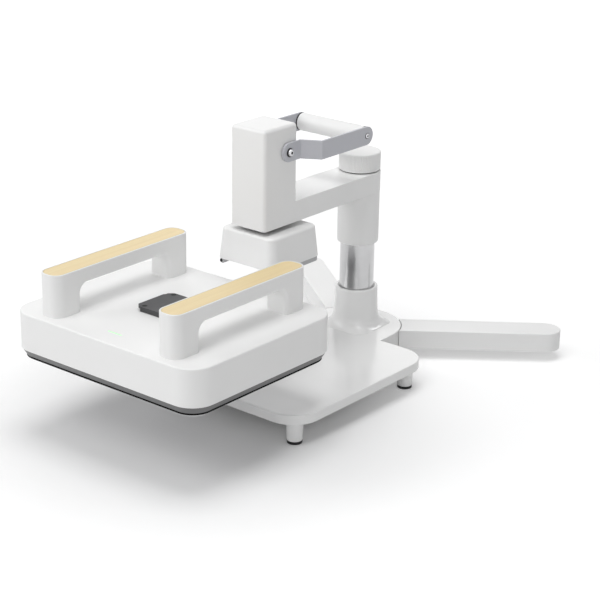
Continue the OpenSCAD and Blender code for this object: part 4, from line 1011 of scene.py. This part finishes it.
# Dark discs in the sockets and dark rings under the heads are painted shade of the socket and of the
# gap round each head.
pivot_ring = round_disc("pivot_ring", 6.1, RING_H)
end_ring = round_disc("end_ring", 4.2, 0.25)
pivot_socket = round_disc("pivot_socket", 2.05, 2.5)
end_socket = round_disc("end_socket", 1.4, 1.15)
bright, shaded = [], []
for sign in (1, -1):
    turns = float(sign)
    pivot, end = (sign * plate_in, pivot_y, GRIP_Z), (sign * plate_out, GRIP_Y, GRIP_Z)
    raised = (sign * (plate_in + RING_H), pivot_y, GRIP_Z)
    bright.append(seated(bright_seats, pivot_head, [raised], turns))
    bright.append(seated(bright_seats, end_head, [end], turns))
    for disc, seat in ((pivot_ring, pivot), (pivot_socket, raised), (end_ring, end), (end_socket, end)):
        shaded.append(seated(shade_seats, disc, [seat], turns))
add_piece("lever_heads", merged(bright), bright_steel, ["lever_screws"], SCREW_SMOOTH)
sockets = add_piece("lever_sockets", merged(shaded), dark_screw, ["lever_screws"], SCREW_SMOOTH)

# %% Screws of the bracket
low, high = (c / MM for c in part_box("bracket_screws"))
dark_seats = seating_tree(dark_screw)
HEAD_R, HEAD_H, HEAD_INSET = 3.9, 2.6, 3.4
flange_head = round_disc("flange_head", HEAD_R, HEAD_H)
seats = [(x, y, high.z - HEAD_H) for x in (low.x + HEAD_INSET, high.x - HEAD_INSET)
         for y in (low.y + HEAD_INSET, high.y - HEAD_INSET)]
flange_heads = seated(dark_seats, flange_head, seats, 0.0)
add_piece("flange_heads", flange_heads, dark_screw, ["bracket_screws"], SCREW_SMOOTH)
for part in (pivot_head, end_head, pivot_ring, end_ring, pivot_socket, end_socket, flange_head):
    bpy.data.objects.remove(part)

# %% [markdown]
# ## Bracket, rails and feet
# Small radii again: the black bracket on the press, the grey rails under the dock, and the feet,
# which are turned and have a soft lower edge.

# %% Bracket
HOLE_BAND = 4.5


def on_flange(middle, edge):
    place = Vector((middle.x, middle.y))
    hole = min((place - Vector(seat[:2])).length for seat in seats) < HOLE_BAND
    return not hole and middle.z > SHELL_TOP + 0.1


soften("dock_bracket", "flange_bracket", bracket_paint, 0.45, on_flange)

# %% Feet
soften("base_feet", "feet", white_plastic, 0.8, lambda middle, edge: middle.z < 6, 3)
soften("foot_pads", "pads", polished_black, 0.7, lambda middle, edge: middle.z < 1, 3)

# %% Small visible parts
for node, finish, radius in (("dock_rails", grey_plastic, 0.4), ("catch_studs", black_plastic, 0.4),
                             ("guide_bush", black_plastic, 0.3), ("grip_washers", black_plastic, 0.2),
                             ("knob_washer", black_plastic, 0.2), ("arm_cover", white_paint, 0.2),
                             # The head's floor is black as painted shade of the narrow gap between the
                             # head and the dock.
                             ("head_floor", black_plastic, 0.2), ("hub_cover", white_paint, 0.3),
                             ("plunger", steel, 0.2), ("power_inlet", black_plastic, 0.2)):
    soften(node, "soft_" + node, finish, radius)

# %% Return spring
# The spring is pressed together as the plunger goes down, so it shortens by the plunger's travel.
# Here it only gets a mesh of its own and keeps its rest length.
spring = add_piece("pressed_spring", cad_copy("return_spring"), steel, ["return_spring"])
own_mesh(spring)

# %% [markdown]
# ## Studio
# The photograph is a catalogue picture: a pure white ground, broad soft lights overhead and in
# front, and open shadows. The world lights evenly, four large lamps give the direction, and two
# more behind only put a sheen on upper faces and edges. Where the camera or a mirror sees the
# ground away from the shadows, a glow brings it up to white.

# %% Sums of node values
def calculated(tree, operation, first, second):
    node = tree.nodes.new("ShaderNodeMath")
    node.operation = operation
    tree.links.new(first, node.inputs[0])
    tree.links.new(second, node.inputs[1])
    return node.outputs["Value"]


def shown(tree):
    """1 for a ray from the camera or off a gloss, else 0, and the outputs that tell rays apart."""
    rays = tree.nodes.new("ShaderNodeLightPath").outputs
    return calculated(tree, "MAXIMUM", rays["Is Camera Ray"], rays["Is Glossy Ray"]), rays


# %% Ground
GROUND, GROUND_GREY = 12.0, 0.86
GLOW_MIDDLE = (0.0, -0.35, 0.0)
GLOW_START, GLOW_FULL, GLOW_NEAR = 0.1, 0.45, 0.3
GLOW_END, GLOW_FAR = 2.5, 0.3
ground_mesh = bpy.data.meshes.new("ground")
ground_mesh.from_pydata([(x * GROUND, y * GROUND, 0) for x, y in ((-1, -1), (1, -1), (1, 1), (-1, 1))],
                        [], [(0, 1, 2, 3)])
ground = bpy.data.objects.new("ground", ground_mesh)
bpy.context.scene.collection.objects.link(ground)
ground_material = bpy.data.materials.new("ground_white")
ground_material.use_nodes = True
tree = ground_material.node_tree
tree.nodes.clear()
output = tree.nodes.new("ShaderNodeOutputMaterial")
diffuse = tree.nodes.new("ShaderNodeBsdfDiffuse")
diffuse.inputs["Color"].default_value = (GROUND_GREY, GROUND_GREY, GROUND_GREY, 1.0)
glow = tree.nodes.new("ShaderNodeEmission")
glow.inputs["Color"].default_value = (1.0, 1.0, 1.0, 1.0)
place = tree.nodes.new("ShaderNodeTexCoord")
away = tree.nodes.new("ShaderNodeVectorMath")
away.operation = "DISTANCE"
away.inputs[1].default_value = GLOW_MIDDLE
wire(tree, (place, "Object", away, 0))
total = calculated(
    tree, "ADD",
    climb(tree, away.outputs["Value"], "SMOOTHSTEP", GLOW_START, GLOW_FULL, GLOW_NEAR),
    climb(tree, away.outputs["Value"], "LINEAR", GLOW_FULL, GLOW_END, GLOW_FAR))
tree.links.new(calculated(tree, "MULTIPLY", shown(tree)[0], total), glow.inputs["Strength"])
both = tree.nodes.new("ShaderNodeAddShader")
wire(tree, (diffuse, "BSDF", both, 0), (glow, "Emission", both, 1), (both, "Shader", output, "Surface"))
ground_mesh.materials.append(ground_material)

# %% World
SKY_COLOR, SKY_STRENGTH = (0.985, 0.99, 1.0, 1.0), 0.28
world = bpy.data.worlds.new("studio")
bpy.context.scene.world = world
world.use_nodes = True
tree = world.node_tree
tree.nodes.clear()
output = tree.nodes.new("ShaderNodeOutputWorld")
choose = tree.nodes.new("ShaderNodeMixShader")
for socket, color, strength in ((1, SKY_COLOR, SKY_STRENGTH), (2, (1.0, 1.0, 1.0, 1.0), 1.0)):
    light = tree.nodes.new("ShaderNodeBackground")
    light.inputs["Color"].default_value = color
    light.inputs["Strength"].default_value = strength
    wire(tree, (light, "Background", choose, socket))
seen, rays = shown(tree)
tree.links.new(calculated(tree, "MAXIMUM", seen, rays["Is Transmission Ray"]), choose.inputs["Fac"])
wire(tree, (choose, "Shader", output, "Surface"))


# %% Lamps
def area_lamp(name, place, aim, size, power):
    data = bpy.data.lights.new(name, "AREA")
    data.shape = "DISK"
    data.size = size
    data.energy = power
    lamp = bpy.data.objects.new(name, data)
    lamp.location = place
    lamp.rotation_mode = "QUATERNION"
    lamp.rotation_quaternion = (Vector(aim) - Vector(place)).to_track_quat("-Z", "Y")
    bpy.context.scene.collection.objects.link(lamp)
    return lamp


AIM = (0.0, -0.25, 0.1)
area_lamp("overhead", (0.1, -0.25, 6.1), AIM, 3.3, 122.0)
area_lamp("high_front", (0.0, -3.7, 5.0), AIM, 3.5, 74.0)
area_lamp("low_left", (-3.85, -4.1, 2.65), AIM, 3.5, 90.0)
area_lamp("low_right", (3.85, -4.1, 2.65), AIM, 3.5, 42.0)
for name, place, size, power in (("sheen_left", (-3.6, 4.4, 2.5), 4.0, 30.0),
                                 ("sheen_right", (2.2, 4.6, 3.9), 1.2, 30.0)):
    area_lamp(name, place, AIM, size, power).visible_diffuse = False

# %% Camera
YAW, PITCH, ROLL = 0.68584, 0.36042, 0.01481
CAMERA_PLACE = (1.4786, -1.9367, 0.9953)
SENSOR_MM, LENS_MM = 36.0, 106.105
ahead = Vector((-math.sin(YAW) * math.cos(PITCH), math.cos(YAW) * math.cos(PITCH), -math.sin(PITCH)))
right = Vector((math.cos(YAW), math.sin(YAW), 0.0))
up = right.cross(ahead)
turned_right = math.cos(ROLL) * right + math.sin(ROLL) * up
turned_up = math.cos(ROLL) * up - math.sin(ROLL) * right
camera_data = bpy.data.cameras.new("camera")
camera_data.sensor_width = SENSOR_MM
camera_data.lens = LENS_MM
camera = bpy.data.objects.new("camera", camera_data)
camera.matrix_world = Matrix.Translation(CAMERA_PLACE) @ Matrix(
    (turned_right, turned_up, -ahead)).transposed().to_4x4()
bpy.context.scene.collection.objects.link(camera)
bpy.context.scene.camera = camera
bpy.context.scene.view_settings.view_transform = "Standard"

# %% The end
bpy.context.view_layer.update()
